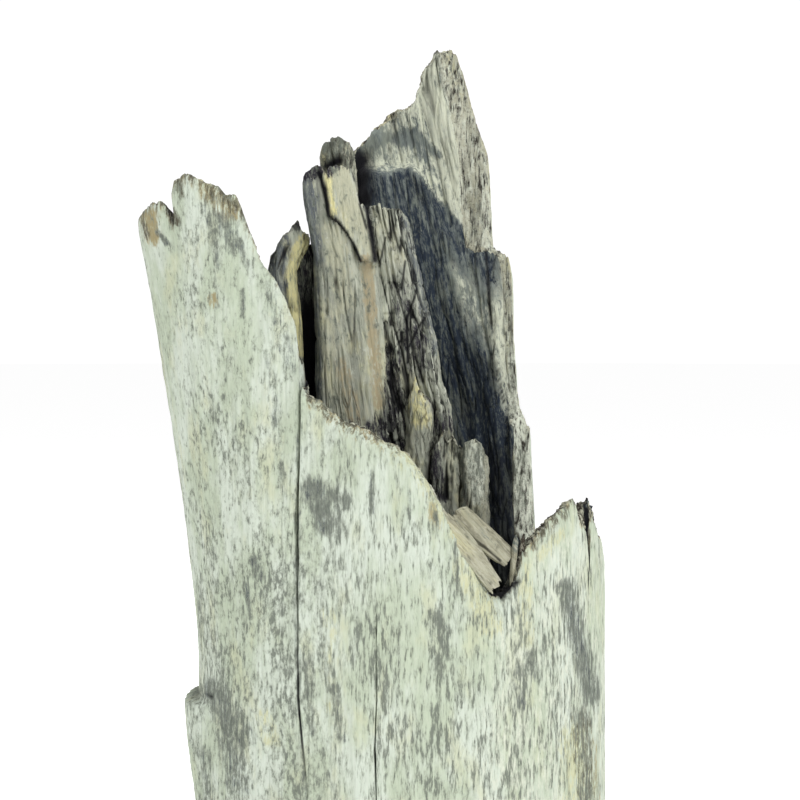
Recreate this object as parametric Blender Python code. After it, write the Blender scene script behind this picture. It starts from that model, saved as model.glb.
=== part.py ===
"""A weathered, hollow tree trunk, broken off at the top and sawn flat at the foot.

The trunk is one piece of wood: a thin wall round a decayed hollow, with a rest of the
heartwood standing in it. The wall is broken low at the front and stands tall at the back.
Metres, +Z up, the origin at the middle of the sawn foot, the low broken side towards -Y.
Angles are degrees round the trunk from the front, positive towards +X.
"""

import math

import bmesh
import bpy

# Driving dimensions.
TRUNK_RADIUS = 0.2035
FLARE = 0.056  # how far the left side has spread at the top of its plank
FLARE_FOOT_Z = 0.26
FLARE_TOP_Z = 0.68
WALL_AT_RIM = 0.020
WALL_LOW_DOWN = 0.034
HOLLOW_FLOOR_Z = 0.170
HOLLOW_CORNER = 0.080
BREAK_RISE = 0.012  # how much higher the front break is at the inner face than at the outer
PLANK_FALL = 0.009  # how much lower the left plank's top is at the inner face
HEARTWOOD_FOOT_Z = 0.150

SHOULDER = 0.010  # the swelling low on the left side
SHOULDER_ANGLE = -92.0
SHOULDER_TOP_Z = 0.230
SHOULDER_LIP_Z = 0.222
SHOULDER_FOOT_Z = 0.120

CHECK_ANGLE = -28.0  # the long drying crack beside the left plank
CHECK_TOP_Z = 0.560
CHECK_FOOT_Z = 0.130
CHECK_TOP_WIDTH = 0.0036
CHECK_FOOT_WIDTH = 0.0014
CHECK_DEPTH = 0.014

LOW_LEVELS = (0.0, 0.060, SHOULDER_FOOT_Z, 0.170, SHOULDER_LIP_Z, SHOULDER_TOP_Z, 0.290)
UPPER_ROWS = 7
INNER_ROWS = 9
COLUMN_STEP = 5.0  # the widest angle between two columns of the wall's mesh

WOOD_COLOUR = (0.62, 0.66, 0.55, 1.0)

# The broken rim at the wall's outer face, as (angle, height), once round the trunk.
LEFT_PLANK = [
    (-112.0, 0.612), (-104.0, 0.655), (-96.0, 0.690), (-80.0, 0.697), (-66.0, 0.708),
    (-62.0, 0.716), (-60.6, 0.702), (-59.2, 0.706), (-58.2, 0.730), (-54.7, 0.739),
    (-48.6, 0.728), (-44.4, 0.719), (-42.6, 0.702), (-39.4, 0.662), (-35.3, 0.643),
    (-30.6, 0.628), (-28.6, 0.622),
]
FRONT_BREAK = [
    (-27.4, 0.536), (-22.6, 0.527), (-16.2, 0.510), (-10.2, 0.503), (-5.0, 0.491),
    (1.4, 0.481), (4.0, 0.470), (8.0, 0.451), (16.0, 0.404), (20.2, 0.378),
    (23.6, 0.353), (27.4, 0.341), (30.6, 0.343),
]
RIGHT_LIP = [
    (34.2, 0.359), (35.2, 0.382), (40.4, 0.395), (48.8, 0.412), (58.0, 0.426),
    (60.4, 0.416), (63.2, 0.400), (65.6, 0.376), (68.2, 0.420), (72.4, 0.401),
    (80.0, 0.386), (88.0, 0.364), (104.0, 0.352), (120.0, 0.350), (134.2, 0.372),
]
BACK_WALL = [
    (135.6, 0.440), (136.6, 0.483), (142.6, 0.511), (144.2, 0.548), (145.4, 0.590),
    (146.0, 0.640), (147.4, 0.662), (151.6, 0.672), (152.6, 0.705), (153.2, 0.740),
    (154.0, 0.770), (159.3, 0.823), (162.4, 0.858), (164.2, 0.878), (166.2, 0.883),
    (169.6, 0.874), (173.2, 0.850), (175.0, 0.831), (183.0, 0.813), (188.0, 0.796),
    (193.0, 0.778), (198.0, 0.748),
]
BACK_LEFT = [
    (202.0, 0.712), (207.0, 0.660), (212.0, 0.628), (220.0, 0.612), (228.0, 0.590),
    (237.0, 0.580),
]
RIM = LEFT_PLANK + FRONT_BREAK + RIGHT_LIP + BACK_WALL + BACK_LEFT

# The heartwood's staves. Each has a front and a back Y, the cut of its four corners from the
# front left one round to the back left one, the slopes of its top along X and Y, and for each
# height its left and right X, from its foot to its top.
STAVES = {
    "left": {
        "y": (-0.094, 0.004),
        "corners": (0.014, 0.006, 0.020, 0.026),
        "slopes": (-0.10, -0.25),
        "levels": [
            (HEARTWOOD_FOOT_Z, -0.084, 0.010), (0.440, -0.082, -0.004), (0.560, -0.081, -0.014),
            (0.640, -0.084, -0.026), (0.685, -0.088, -0.034), (0.722, -0.094, -0.040),
            (0.748, -0.093, -0.048),
        ],
    },
    "knob": {
        "y": (-0.070, -0.022),
        "corners": (0.006, 0.006, 0.010, 0.010),
        "slopes": (0.20, -0.20),
        "levels": [(0.680, -0.078, -0.040), (0.760, -0.074, -0.042), (0.778, -0.068, -0.048)],
    },
    "right": {
        "y": (-0.074, 0.030),
        "corners": (0.006, 0.016, 0.030, 0.014),
        "slopes": (-0.15, -0.30),
        "levels": [
            (HEARTWOOD_FOOT_Z, -0.030, 0.072), (0.420, -0.028, 0.056), (0.484, -0.028, 0.050),
            (0.520, -0.030, 0.040), (0.580, -0.032, 0.029), (0.650, -0.034, 0.013),
            (0.702, -0.035, 0.003),
        ],
    },
    "stub": {
        "y": (-0.092, -0.040),
        "corners": (0.008, 0.012, 0.010, 0.008),
        "slopes": (-0.30, -0.20),
        "levels": [(HEARTWOOD_FOOT_Z, 0.036, 0.096), (0.380, 0.040, 0.086), (0.477, 0.054, 0.078)],
    },
    "strip": {
        "y": (-0.078, -0.060),
        "corners": (0.005, 0.003, 0.003, 0.007),
        "slopes": (0.40, 0.0),
        "levels": [
            (HEARTWOOD_FOOT_Z, -0.126, -0.074), (0.580, -0.126, -0.092), (0.650, -0.124, -0.098),
            (0.692, -0.118, -0.094),
        ],
    },
}

# Splinters torn from the front wall, as (angle, height) of the two ends, and the width.
SPLINTERS = {
    "long": {"ends": [(9.0, 0.450), (25.5, 0.354)], "width": 0.018, "thickness": 0.006},
    "short": {"ends": [(15.0, 0.420), (30.0, 0.368)], "width": 0.026, "thickness": 0.010},
}


def smooth(low, high, value):
    """0 below low, 1 above high, and a smooth rise between them."""
    share = min(1.0, max(0.0, (value - low) / (high - low)))
    return share * share * (3.0 - 2.0 * share)


def outer_radius(angle, height):
    """The wall's outer radius: nearly round, and spread outwards high on the left side."""
    turn = math.radians(angle)
    left = (angle + 180.0) % 360.0 - 180.0
    share = smooth(-28.0, -75.0, left) * smooth(-172.0, -120.0, left)
    rise = max(0.0, (height - FLARE_FOOT_Z) / (FLARE_TOP_Z - FLARE_FOOT_Z))
    lobes = 0.0035 * math.cos(2.0 * turn + math.pi) * math.cos(turn) + 0.002 * math.sin(5.0 * turn)
    return TRUNK_RADIUS + lobes + FLARE * share * rise**1.4 + shoulder(left, height)


def shoulder(angle, height):
    """The low swelling on the left side: an abrupt lip at its top and a slow run-out below."""
    around = smooth(30.0, 16.0, abs(angle - SHOULDER_ANGLE))
    lip = smooth(SHOULDER_TOP_Z, SHOULDER_LIP_Z, height)
    return SHOULDER * around * lip * smooth(SHOULDER_FOOT_Z - 0.04, SHOULDER_LIP_Z, height)


def break_rise(angle):
    """How much higher the break is at the inner face than at the outer face."""
    left = (angle + 180.0) % 360.0 - 180.0
    front = smooth(31.5, 28.0, abs(left - 2.0))
    plank = smooth(-28.0, -31.0, left) * smooth(-125.0, -110.0, left)
    return BREAK_RISE * front - PLANK_FALL * plank


def wall_thickness(height):
    """The wall is thicker low down, where less of it has decayed."""
    share = smooth(0.25, 0.60, height)
    return WALL_LOW_DOWN + (WALL_AT_RIM - WALL_LOW_DOWN) * share


def place(angle, radius, height):
    """The point at an angle from the front, a radius and a height."""
    turn = math.radians(angle)
    return (radius * math.sin(turn), -radius * math.cos(turn), height)


def rim_columns():
    """The rim's points with more put between those that stand wide apart."""
    columns = []
    closed = RIM + [(RIM[0][0] + 360.0, RIM[0][1])]
    for (angle, height), (next_angle, next_height) in zip(closed, closed[1:]):
        count = max(1, math.ceil((next_angle - angle) / COLUMN_STEP))
        for step in range(count):
            share = step / count
            columns.append(
                (angle + (next_angle - angle) * share, height + (next_height - height) * share)
            )
    return columns


def outer_level(row, rim_height):
    """The height of one row of the outer face: level rows low down, then rows up to the rim."""
    if row < len(LOW_LEVELS):
        return LOW_LEVELS[row]
    share = (row - len(LOW_LEVELS) + 1) / UPPER_ROWS
    return LOW_LEVELS[-1] + (rim_height - LOW_LEVELS[-1]) * share


def hollow_profile(angle, rim_height):
    """The inner face at one angle, from the rim down to the hollow's rounded floor."""
    profile = []
    foot_z = HOLLOW_FLOOR_Z + HOLLOW_CORNER
    top_z = rim_height + break_rise(angle)
    for row in range(INNER_ROWS):
        height = top_z + (foot_z - top_z) * row / (INNER_ROWS - 1)
        profile.append((outer_radius(angle, height) - wall_thickness(height), height))
    foot_radius = profile[-1][0]
    for tilt in (30.0, 60.0):
        bend = math.radians(tilt)
        profile.append((foot_radius * math.cos(bend), foot_z - HOLLOW_CORNER * math.sin(bend)))
    return profile


def wall_mesh():
    """The sawn foot, the wall's outer face, its broken rim and the hollow, as one closed mesh."""
    mesh = bmesh.new()
    rings = []
    columns = rim_columns()
    for row in range(len(LOW_LEVELS) + UPPER_ROWS):
        ring = []
        for angle, rim_height in columns:
            height = outer_level(row, rim_height)
            ring.append(mesh.verts.new(place(angle, outer_radius(angle, height), height)))
        rings.append(ring)
    profiles = [hollow_profile(angle, height) for angle, height in columns]
    for row in range(len(profiles[0])):
        ring = [
            mesh.verts.new(place(angle, *profile[row]))
            for (angle, _), profile in zip(columns, profiles)
        ]
        rings.append(ring)
    for lower, upper in zip(rings, rings[1:]):
        for index in range(len(columns)):
            after = (index + 1) % len(columns)
            mesh.faces.new((lower[index], lower[after], upper[after], upper[index]))
    close_with_fan(mesh, rings[0], 0.0)
    close_with_fan(mesh, rings[-1], HOLLOW_FLOOR_Z)
    bmesh.ops.triangulate(mesh, faces=mesh.faces)
    bmesh.ops.recalc_face_normals(mesh, faces=mesh.faces)
    return mesh


def close_with_fan(mesh, ring, height):
    """Closes a ring with triangles round a middle point on the trunk's axis."""
    middle = mesh.verts.new((0.0, 0.0, height))
    for index, vertex in enumerate(ring):
        mesh.faces.new((vertex, ring[(index + 1) % len(ring)], middle))


def stave_outline(left, right, front, back, corners):
    """A stave's section: a rectangle with its corners cut, as eight (x, y) points."""
    front_left, front_right, back_right, back_left = corners
    return [
        (left + front_left, front), (right - front_right, front),
        (right, front + front_right), (right, back - back_right),
        (right - back_right, back), (left + back_left, back),
        (left, back - back_left), (left, front + front_left),
    ]


def stave_mesh(y, corners, slopes, levels):
    """One stave of heartwood, with a section at each level and a top that slopes."""
    mesh = bmesh.new()
    rings = []
    top_z, top_left, top_right = levels[-1]
    middle_x = (top_left + top_right) / 2.0
    middle_y = sum(y) / 2.0
    for height, left, right in levels:
        tilt = 1.0 if height == top_z else 0.0
        ring = []
        for x, depth in stave_outline(left, right, *y, corners):
            rise = slopes[0] * (x - middle_x) + slopes[1] * (depth - middle_y)
            ring.append(mesh.verts.new((x, depth, height + tilt * rise)))
        rings.append(ring)
    for lower, upper in zip(rings, rings[1:]):
        for index in range(len(lower)):
            after = (index + 1) % len(lower)
            mesh.faces.new((lower[index], lower[after], upper[after], upper[index]))
    mesh.faces.new(rings[0])
    mesh.faces.new(rings[-1])
    bmesh.ops.recalc_face_normals(mesh, faces=mesh.faces)
    return mesh


def prism_mesh(sections):
    """A closed solid through four-cornered sections."""
    mesh = bmesh.new()
    rings = [[mesh.verts.new(corner) for corner in section] for section in sections]
    for lower, upper in zip(rings, rings[1:]):
        for index in range(4):
            after = (index + 1) % 4
            mesh.faces.new((lower[index], lower[after], upper[after], upper[index]))
    mesh.faces.new(rings[0])
    mesh.faces.new(rings[-1])
    bmesh.ops.recalc_face_normals(mesh, faces=mesh.faces)
    return mesh


def splinter_mesh(ends, width, thickness):
    """A splinter that lies along the front break, half sunk in the wall's inner face."""
    sections = []
    for angle, height in ends:
        outer = outer_radius(angle, height) - 0.004
        inner = outer - WALL_AT_RIM - thickness
        sections.append([
            place(angle, outer, height - width),
            place(angle, inner, height - width),
            place(angle, inner, height + width / 2.0),
            place(angle, outer, height + width / 2.0),
        ])
    return prism_mesh(sections)


def crack_mesh():
    """The wedge that the long drying crack leaves open in the wall's outer face."""
    sections = []
    for height, width in ((CHECK_FOOT_Z, CHECK_FOOT_WIDTH), (CHECK_TOP_Z, CHECK_TOP_WIDTH)):
        outer = TRUNK_RADIUS + 0.020
        inner = TRUNK_RADIUS - CHECK_DEPTH
        half = math.degrees(width / 2.0 / TRUNK_RADIUS)
        sections.append([
            place(CHECK_ANGLE - half, outer, height),
            place(CHECK_ANGLE + half, outer, height),
            place(CHECK_ANGLE + half, inner, height),
            place(CHECK_ANGLE - half, inner, height),
        ])
    return prism_mesh(sections)


def add_object(name, mesh):
    """A scene object from a bmesh."""
    data = bpy.data.meshes.new(name)
    mesh.to_mesh(data)
    mesh.free()
    made = bpy.data.objects.new(name, data)
    bpy.context.scene.collection.objects.link(made)
    return made


def combine(target, mesh, name, operation):
    """Joins a helper solid to the target, or cuts it away, by a Boolean modifier."""
    helper = add_object(name, mesh)
    helper.hide_render = True
    helper.display_type = "WIRE"
    modifier = target.modifiers.new(name, "BOOLEAN")
    modifier.operation = operation
    modifier.solver = "EXACT"
    modifier.object = helper


def wood_material():
    """Bleached, barkless wood."""
    material = bpy.data.materials.new("weathered_wood")
    material.use_nodes = True
    shader = material.node_tree.nodes["Principled BSDF"]
    shader.inputs["Base Color"].default_value = WOOD_COLOUR
    shader.inputs["Roughness"].default_value = 0.85
    shader.inputs["Metallic"].default_value = 0.0
    return material


def build_trunk():
    """The whole trunk as one object."""
    trunk = add_object("tree_trunk", wall_mesh())
    trunk.data.materials.append(wood_material())
    for name, stave in STAVES.items():
        combine(trunk, stave_mesh(**stave), f"stave_{name}", "UNION")
    for name, splinter in SPLINTERS.items():
        combine(trunk, splinter_mesh(**splinter), f"splinter_{name}", "UNION")
    combine(trunk, crack_mesh(), "drying_crack", "DIFFERENCE")
    trunk.data.shade_smooth()
    trunk.data.set_sharp_from_angle(angle=math.radians(35.0))


def main():
    """Clears the scene and builds the trunk."""
    for old in list(bpy.data.objects):
        bpy.data.objects.remove(old)
    build_trunk()


main()
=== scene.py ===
"""A weathered, hollow tree trunk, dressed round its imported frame.

The trunk has a bleached wall with a torn rim, a decayed hollow, a rest of heartwood that still
stands in it, and splinters along the front break. Metres, +Z up, the low broken side
towards -Y. Angles are degrees round the trunk from the front, positive towards +X.
"""

from __future__ import annotations

import logging
import math
from dataclasses import dataclass, field
from enum import Enum

import bpy
import numpy as np
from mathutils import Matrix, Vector


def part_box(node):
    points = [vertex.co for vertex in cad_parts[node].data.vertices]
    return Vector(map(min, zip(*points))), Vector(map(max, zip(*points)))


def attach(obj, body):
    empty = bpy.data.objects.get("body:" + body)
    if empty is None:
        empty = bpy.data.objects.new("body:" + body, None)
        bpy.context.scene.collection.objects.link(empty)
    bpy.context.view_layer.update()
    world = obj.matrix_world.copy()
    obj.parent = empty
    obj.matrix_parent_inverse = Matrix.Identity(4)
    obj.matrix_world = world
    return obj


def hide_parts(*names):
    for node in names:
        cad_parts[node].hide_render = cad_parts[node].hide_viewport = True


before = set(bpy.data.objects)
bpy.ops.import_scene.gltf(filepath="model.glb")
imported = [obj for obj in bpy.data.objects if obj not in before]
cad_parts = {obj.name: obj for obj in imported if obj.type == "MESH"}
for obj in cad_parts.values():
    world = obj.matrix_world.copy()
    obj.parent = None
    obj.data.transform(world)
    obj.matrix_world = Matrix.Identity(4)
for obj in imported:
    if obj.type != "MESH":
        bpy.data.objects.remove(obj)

LOG = logging.getLogger("tree_trunk")
NODE = "tree_trunk"
BODY = "root"
MAP_NAME = "OFBake"
Socket = bpy.types.NodeSocket
Floats = np.ndarray
Outline = tuple[tuple[float, float], ...]


class Paint(Enum):
    """The masks that a mesh carries for its finish, one number for each vertex."""

    PALE = "pale"
    STAIN = "stain"
    WARM = "warm"
    YELLOW = "yellow"
    DECAY = "decay"
    # Black painted shade in cracks, clefts, gaps between parts and the depths of the hollow, and
    # the black of one notch in the rim.
    CREVICE = "crevice"
    FLECKS = "flecks"
    RUN = "run"


Masks = dict[Paint, Floats]


# --------------------------------------------------------------------------- noise and shape


class Noise:
    """Smooth gradient noise in three dimensions, the same on every run."""

    def __init__(self, seed: int) -> None:
        """Draws the table of slopes.

        Args:
            seed: the number that the table is drawn from.
        """
        draw = np.random.default_rng(seed)
        order = draw.permutation(256)
        self._order = np.concatenate([order, order])
        slopes = draw.normal(size=(256, 3))
        self._slopes = slopes / np.linalg.norm(slopes, axis=1, keepdims=True)

    def at(self, points: Floats) -> Floats:
        """The noise at some points.

        Args:
            points: rows of x, y, z, one lattice cell to the unit.

        Returns:
            One number for each point, from about -1 to 1.
        """
        cell = np.floor(points).astype(np.int64)
        inside = points - cell
        cell &= 255
        ease = inside**3 * (inside * (inside * 6.0 - 15.0) + 10.0)
        total = np.zeros(len(points))
        for corner in range(8):
            step = np.array([corner & 1, (corner >> 1) & 1, (corner >> 2) & 1])
            where = (cell + step) & 255
            index = self._order[where[:, 0]]
            index = self._order[(index + where[:, 1]) & 255]
            index = self._order[(index + where[:, 2]) & 255]
            slope = ((inside - step) * self._slopes[index]).sum(axis=1)
            total += slope * np.where(step, ease, 1.0 - ease).prod(axis=1)
        return total * 1.7

    def layered(self, points: Floats, layers: int, gain: float = 0.5) -> Floats:
        """Several layers of noise, each at twice the pitch of the one before.

        Args:
            points: rows of x, y, z, one cell of the first layer to the unit.
            layers: how many layers are added.
            gain: how strong a layer is beside the one before.

        Returns:
            One number for each point, from about -1 to 1.
        """
        total = np.zeros(len(points))
        weight, whole = 1.0, 0.0
        for layer in range(layers):
            total += weight * self.at(points * 2.0**layer + 17.3 * layer)
            whole += weight
            weight *= gain
        return total / whole

    def cracks(self, points: Floats, width: float) -> Floats:
        """Thin lines where the noise passes through zero.

        Args:
            points: rows of x, y, z, one cell to the unit.
            width: the share of a cell that a line takes.

        Returns:
            One number for each point, 1 in the middle of a line and 0 away from it.
        """
        return np.exp(-((self.at(points) / width) ** 2))


def smooth(low: float, high: float, value: Floats | float) -> Floats:
    """A smooth rise from 0 at low to 1 at high, which may lie the other way round.

    Args:
        low: where the rise begins.
        high: where it ends.
        value: where it is read.

    Returns:
        The share of the rise at each value.
    """
    share = np.clip((np.asarray(value, float) - low) / (high - low), 0.0, 1.0)
    return share * share * (3.0 - 2.0 * share)


def along(outline: Outline, value: Floats | float) -> Floats:
    """Reads a line through a few (place, value) points.

    Args:
        outline: the points, in rising order of place.
        value: the places to read.

    Returns:
        The line's value at each place.
    """
    places, values = zip(*outline)
    return np.interp(value, places, values)


def fibres(points: Floats, across: float, length: float) -> Floats:
    """Points laid out for noise that follows the wood's fibres.

    Args:
        points: rows of x, y, z in metres.
        across: the pitch across the fibres.
        length: the pitch along them.

    Returns:
        Rows of x, y, z for Noise.at.
    """
    return points / np.array([across, across, length])


def signed(angle: Floats | float) -> Floats:
    """The same angle between -180 and 180 degrees."""
    return (np.asarray(angle, float) + 180.0) % 360.0 - 180.0


@dataclass(frozen=True)
class Stroke:
    """A soft streak of paint between two places, each an X and a Z in metres."""

    mask: Paint
    start: tuple[float, float]
    end: tuple[float, float]
    reach: float
    strength: float = 1.0

    def over(self, points: Floats, ragged: Floats) -> Floats:
        """How strongly the streak covers some points, seen along Y.

        Args:
            points: rows of x, y, z.
            ragged: noise for each point, which frays the streak's edge.

        Returns:
            The cover of each point, from 0 to the streak's strength.
        """
        first, last = np.array(self.start), np.array(self.end)
        run = last - first
        flat = points[:, [0, 2]] - first
        share = np.clip(flat @ run / max(run @ run, 1e-9), 0.0, 1.0)
        away = np.linalg.norm(flat - share[:, None] * run, axis=1) / self.reach
        return self.strength * smooth(1.65, 0.25, away + 0.45 * ragged)


def streaks(mask: Paint, *rows: tuple[float, ...]) -> tuple[Stroke, ...]:
    """Streaks of one mask.

    Args:
        mask: the mask that they paint.
        rows: the start's X and Z, the end's X and Z, the reach and the strength of each.

    Returns:
        The streaks.
    """
    return tuple(Stroke(mask, row[:2], row[2:4], row[4], row[5]) for row in rows)


def bare(count: int) -> Masks:
    """Masks with nothing painted on them, for a mesh of some vertices."""
    return {mask: np.zeros(count) for mask in Paint}


def cover(masks: Masks, which: Paint, amount: Floats) -> None:
    """Raises a mask to an amount wherever it is lower."""
    masks[which] = np.maximum(masks[which], amount)


def lay_strokes(
    masks: Masks, strokes: tuple[Stroke, ...], points: Floats, ragged: Floats,
    where: Floats,
) -> None:
    """Adds strokes to the masks, the strongest stroke winning.

    Args:
        masks: the masks to add to.
        strokes: the strokes.
        points: rows of x, y, z.
        ragged: noise for each point, which frays the edges.
        where: 1 for each point that may be painted.
    """
    for stroke in strokes:
        cover(masks, stroke.mask, stroke.over(points, ragged) * where)


class Form(Enum):
    """The forms that a layer of relief can take."""

    WAVE = "wave"
    CRACK = "crack"
    PLATE = "plate"


@dataclass(frozen=True)
class Relief:
    """A layer of relief that follows the fibres, in metres.

    shape holds a crack's width as a share of its pitch, or where a plate's edge rises. shown
    holds the pitch, the offset and the rise of the noise that hides some of the layer.
    """

    form: Form
    height: float
    across: float
    length: float
    offset: float = 0.0
    shape: tuple[float, ...] = ()
    shown: tuple[float, ...] = ()

    def over(self, noise: Noise, points: Floats) -> Floats:
        """How far the layer stands out.

        Args:
            noise: the noise that shapes it.
            points: rows of x, y, z.

        Returns:
            The height at each point.
        """
        laid = fibres(points, self.across, self.length) + self.offset
        if self.form is Form.CRACK:
            level = self.height * noise.cracks(laid, *self.shape)
        elif self.form is Form.PLATE:
            level = self.height * smooth(*self.shape, noise.at(laid))
        else:
            level = self.height * noise.at(laid)
        if self.shown:
            pitch, offset, low, high = self.shown
            level = level * smooth(low, high, noise.at(points / pitch + offset))
        return level


def carved(layers: tuple[Relief, ...], noise: Noise, points: Floats) -> Floats:
    """The height of some layers of relief together at each point."""
    return sum(layer.over(noise, points) for layer in layers)


# --------------------------------------------------------------------------- meshes


class Skin:
    """Vertices and faces gathered sheet by sheet, each with its place on the bake map."""

    def __init__(self) -> None:
        """Starts with nothing."""
        self.points: list[Floats] = []
        self.faces: list[list[int]] = []
        self.slots: list[int] = []
        self.places: list[tuple[float, float]] = []
        self.count = 0

    def add(self, points: Floats) -> int:
        """Adds vertices.

        Args:
            points: rows of x, y, z.

        Returns:
            The index of the first one.
        """
        first = self.count
        self.points.append(points)
        self.count += len(points)
        return first

    def sheet(
        self, index: Floats, slot: int, across: Floats, up: Floats, flip: bool = False
    ) -> None:
        """Adds the faces of a grid of vertices, leaving out those with no width.

        Args:
            index: vertex numbers, a row for each level and a column for each fibre.
            slot: the material slot of the faces.
            across: each column's place across the bake map.
            up: each vertex's place up the bake map, a grid like index.
            flip: turns the faces the other way.
        """
        wide = np.broadcast_to(across, index.shape)
        grid = np.stack([index, wide, up], axis=-1)
        corners = np.stack([grid[:-1, :-1], grid[:-1, 1:], grid[1:, 1:], grid[1:, :-1]], axis=2)
        for quad in corners.reshape(-1, 4, 3).tolist():
            face = [quad[0]]
            for corner in quad[1:]:
                if corner[0] != face[-1][0] and corner[0] != face[0][0]:
                    face.append(corner)
            if len(face) < 3:
                continue
            self.face(face[::-1] if flip else face, slot)

    def face(self, corners: list[list[float]], slot: int) -> None:
        """Adds one face.

        Args:
            corners: the vertex number and the place on the bake map of each corner.
            slot: the face's material slot.
        """
        self.faces.append([int(corner[0]) for corner in corners])
        self.places.extend((corner[1], corner[2]) for corner in corners)
        self.slots.append(slot)

    def object(self, name: str, finishes: tuple[bpy.types.Material, ...]) -> bpy.types.Object:
        """Makes the scene object.

        Args:
            name: the piece's name.
            finishes: the materials of its slots.

        Returns:
            The object, with smooth faces.
        """
        mesh = bpy.data.meshes.new(name)
        mesh.from_pydata(np.concatenate(self.points).tolist(), [], self.faces)
        mesh.polygons.foreach_set("material_index", self.slots)
        layer = mesh.uv_layers.new(name=MAP_NAME)
        layer.data.foreach_set("uv", np.array(self.places).ravel())
        mesh.update()
        mesh.shade_smooth()
        made = bpy.data.objects.new(name, mesh)
        bpy.context.scene.collection.objects.link(made)
        for material in finishes:
            mesh.materials.append(material)
        return made


def climb(rim: Floats, foot: float, step: float) -> tuple[Floats, Floats]:
    """Splits every fibre of a sheet into level steps that end at a torn rim.

    Args:
        rim: each column's top height.
        foot: the height of the lowest row.
        step: the height of a row.

    Returns:
        The number of whole rows under each column's top, and the height of every vertex,
        column by column.
    """
    rows = np.maximum(1, np.floor((rim - foot) / step - 0.4).astype(int) + 1)
    heights = [np.append(foot + step * np.arange(count), top) for count, top in zip(rows, rim)]
    return rows, np.concatenate(heights)


def climb_index(rows: Floats, first: int) -> Floats:
    """The vertex numbers of a climbing sheet as a full grid.

    Args:
        rows: the rows under each column's top.
        first: the number of the first vertex.

    Returns:
        A grid of numbers in which every row over a column's top repeats that top, and the
        last column is the first one again.
    """
    starts = first + np.concatenate([[0], np.cumsum(rows + 1)[:-1]])
    levels = np.arange(rows.max() + 1)[:, None]
    grid = starts[None, :] + np.minimum(levels, rows[None, :])
    return np.concatenate([grid, grid[:, :1]], axis=1)


def closed(row: Floats) -> Floats:
    """The same row of a ring with its first entry again at the end."""
    return np.append(row, row[0])


def coordinates(made: bpy.types.Object) -> Floats:
    """The vertices of an object.

    Args:
        made: the object.

    Returns:
        Rows of x, y, z.
    """
    flat = np.empty(len(made.data.vertices) * 3)
    made.data.vertices.foreach_get("co", flat)
    return flat.reshape(-1, 3)


def swell(made: bpy.types.Object, amount: Floats) -> None:
    """Moves each vertex along its normal.

    Args:
        made: the object.
        amount: how far each vertex goes, outwards if positive.
    """
    flat = np.empty(len(amount) * 3)
    made.data.vertex_normals.foreach_get("vector", flat)
    moved = coordinates(made) + flat.reshape(-1, 3) * amount[:, None]
    made.data.vertices.foreach_set("co", moved.ravel())
    made.data.update()


def paint(made: bpy.types.Object, masks: Masks) -> None:
    """Stores the masks that the finish reads.

    Args:
        made: the object.
        masks: each mask's values, one for each vertex.
    """
    for mask in Paint:
        layer = made.data.attributes.new(mask.value, "FLOAT", "POINT")
        layer.data.foreach_set("value", np.clip(masks[mask], 0.0, 1.0))


# --------------------------------------------------------------------------- node groups


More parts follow.
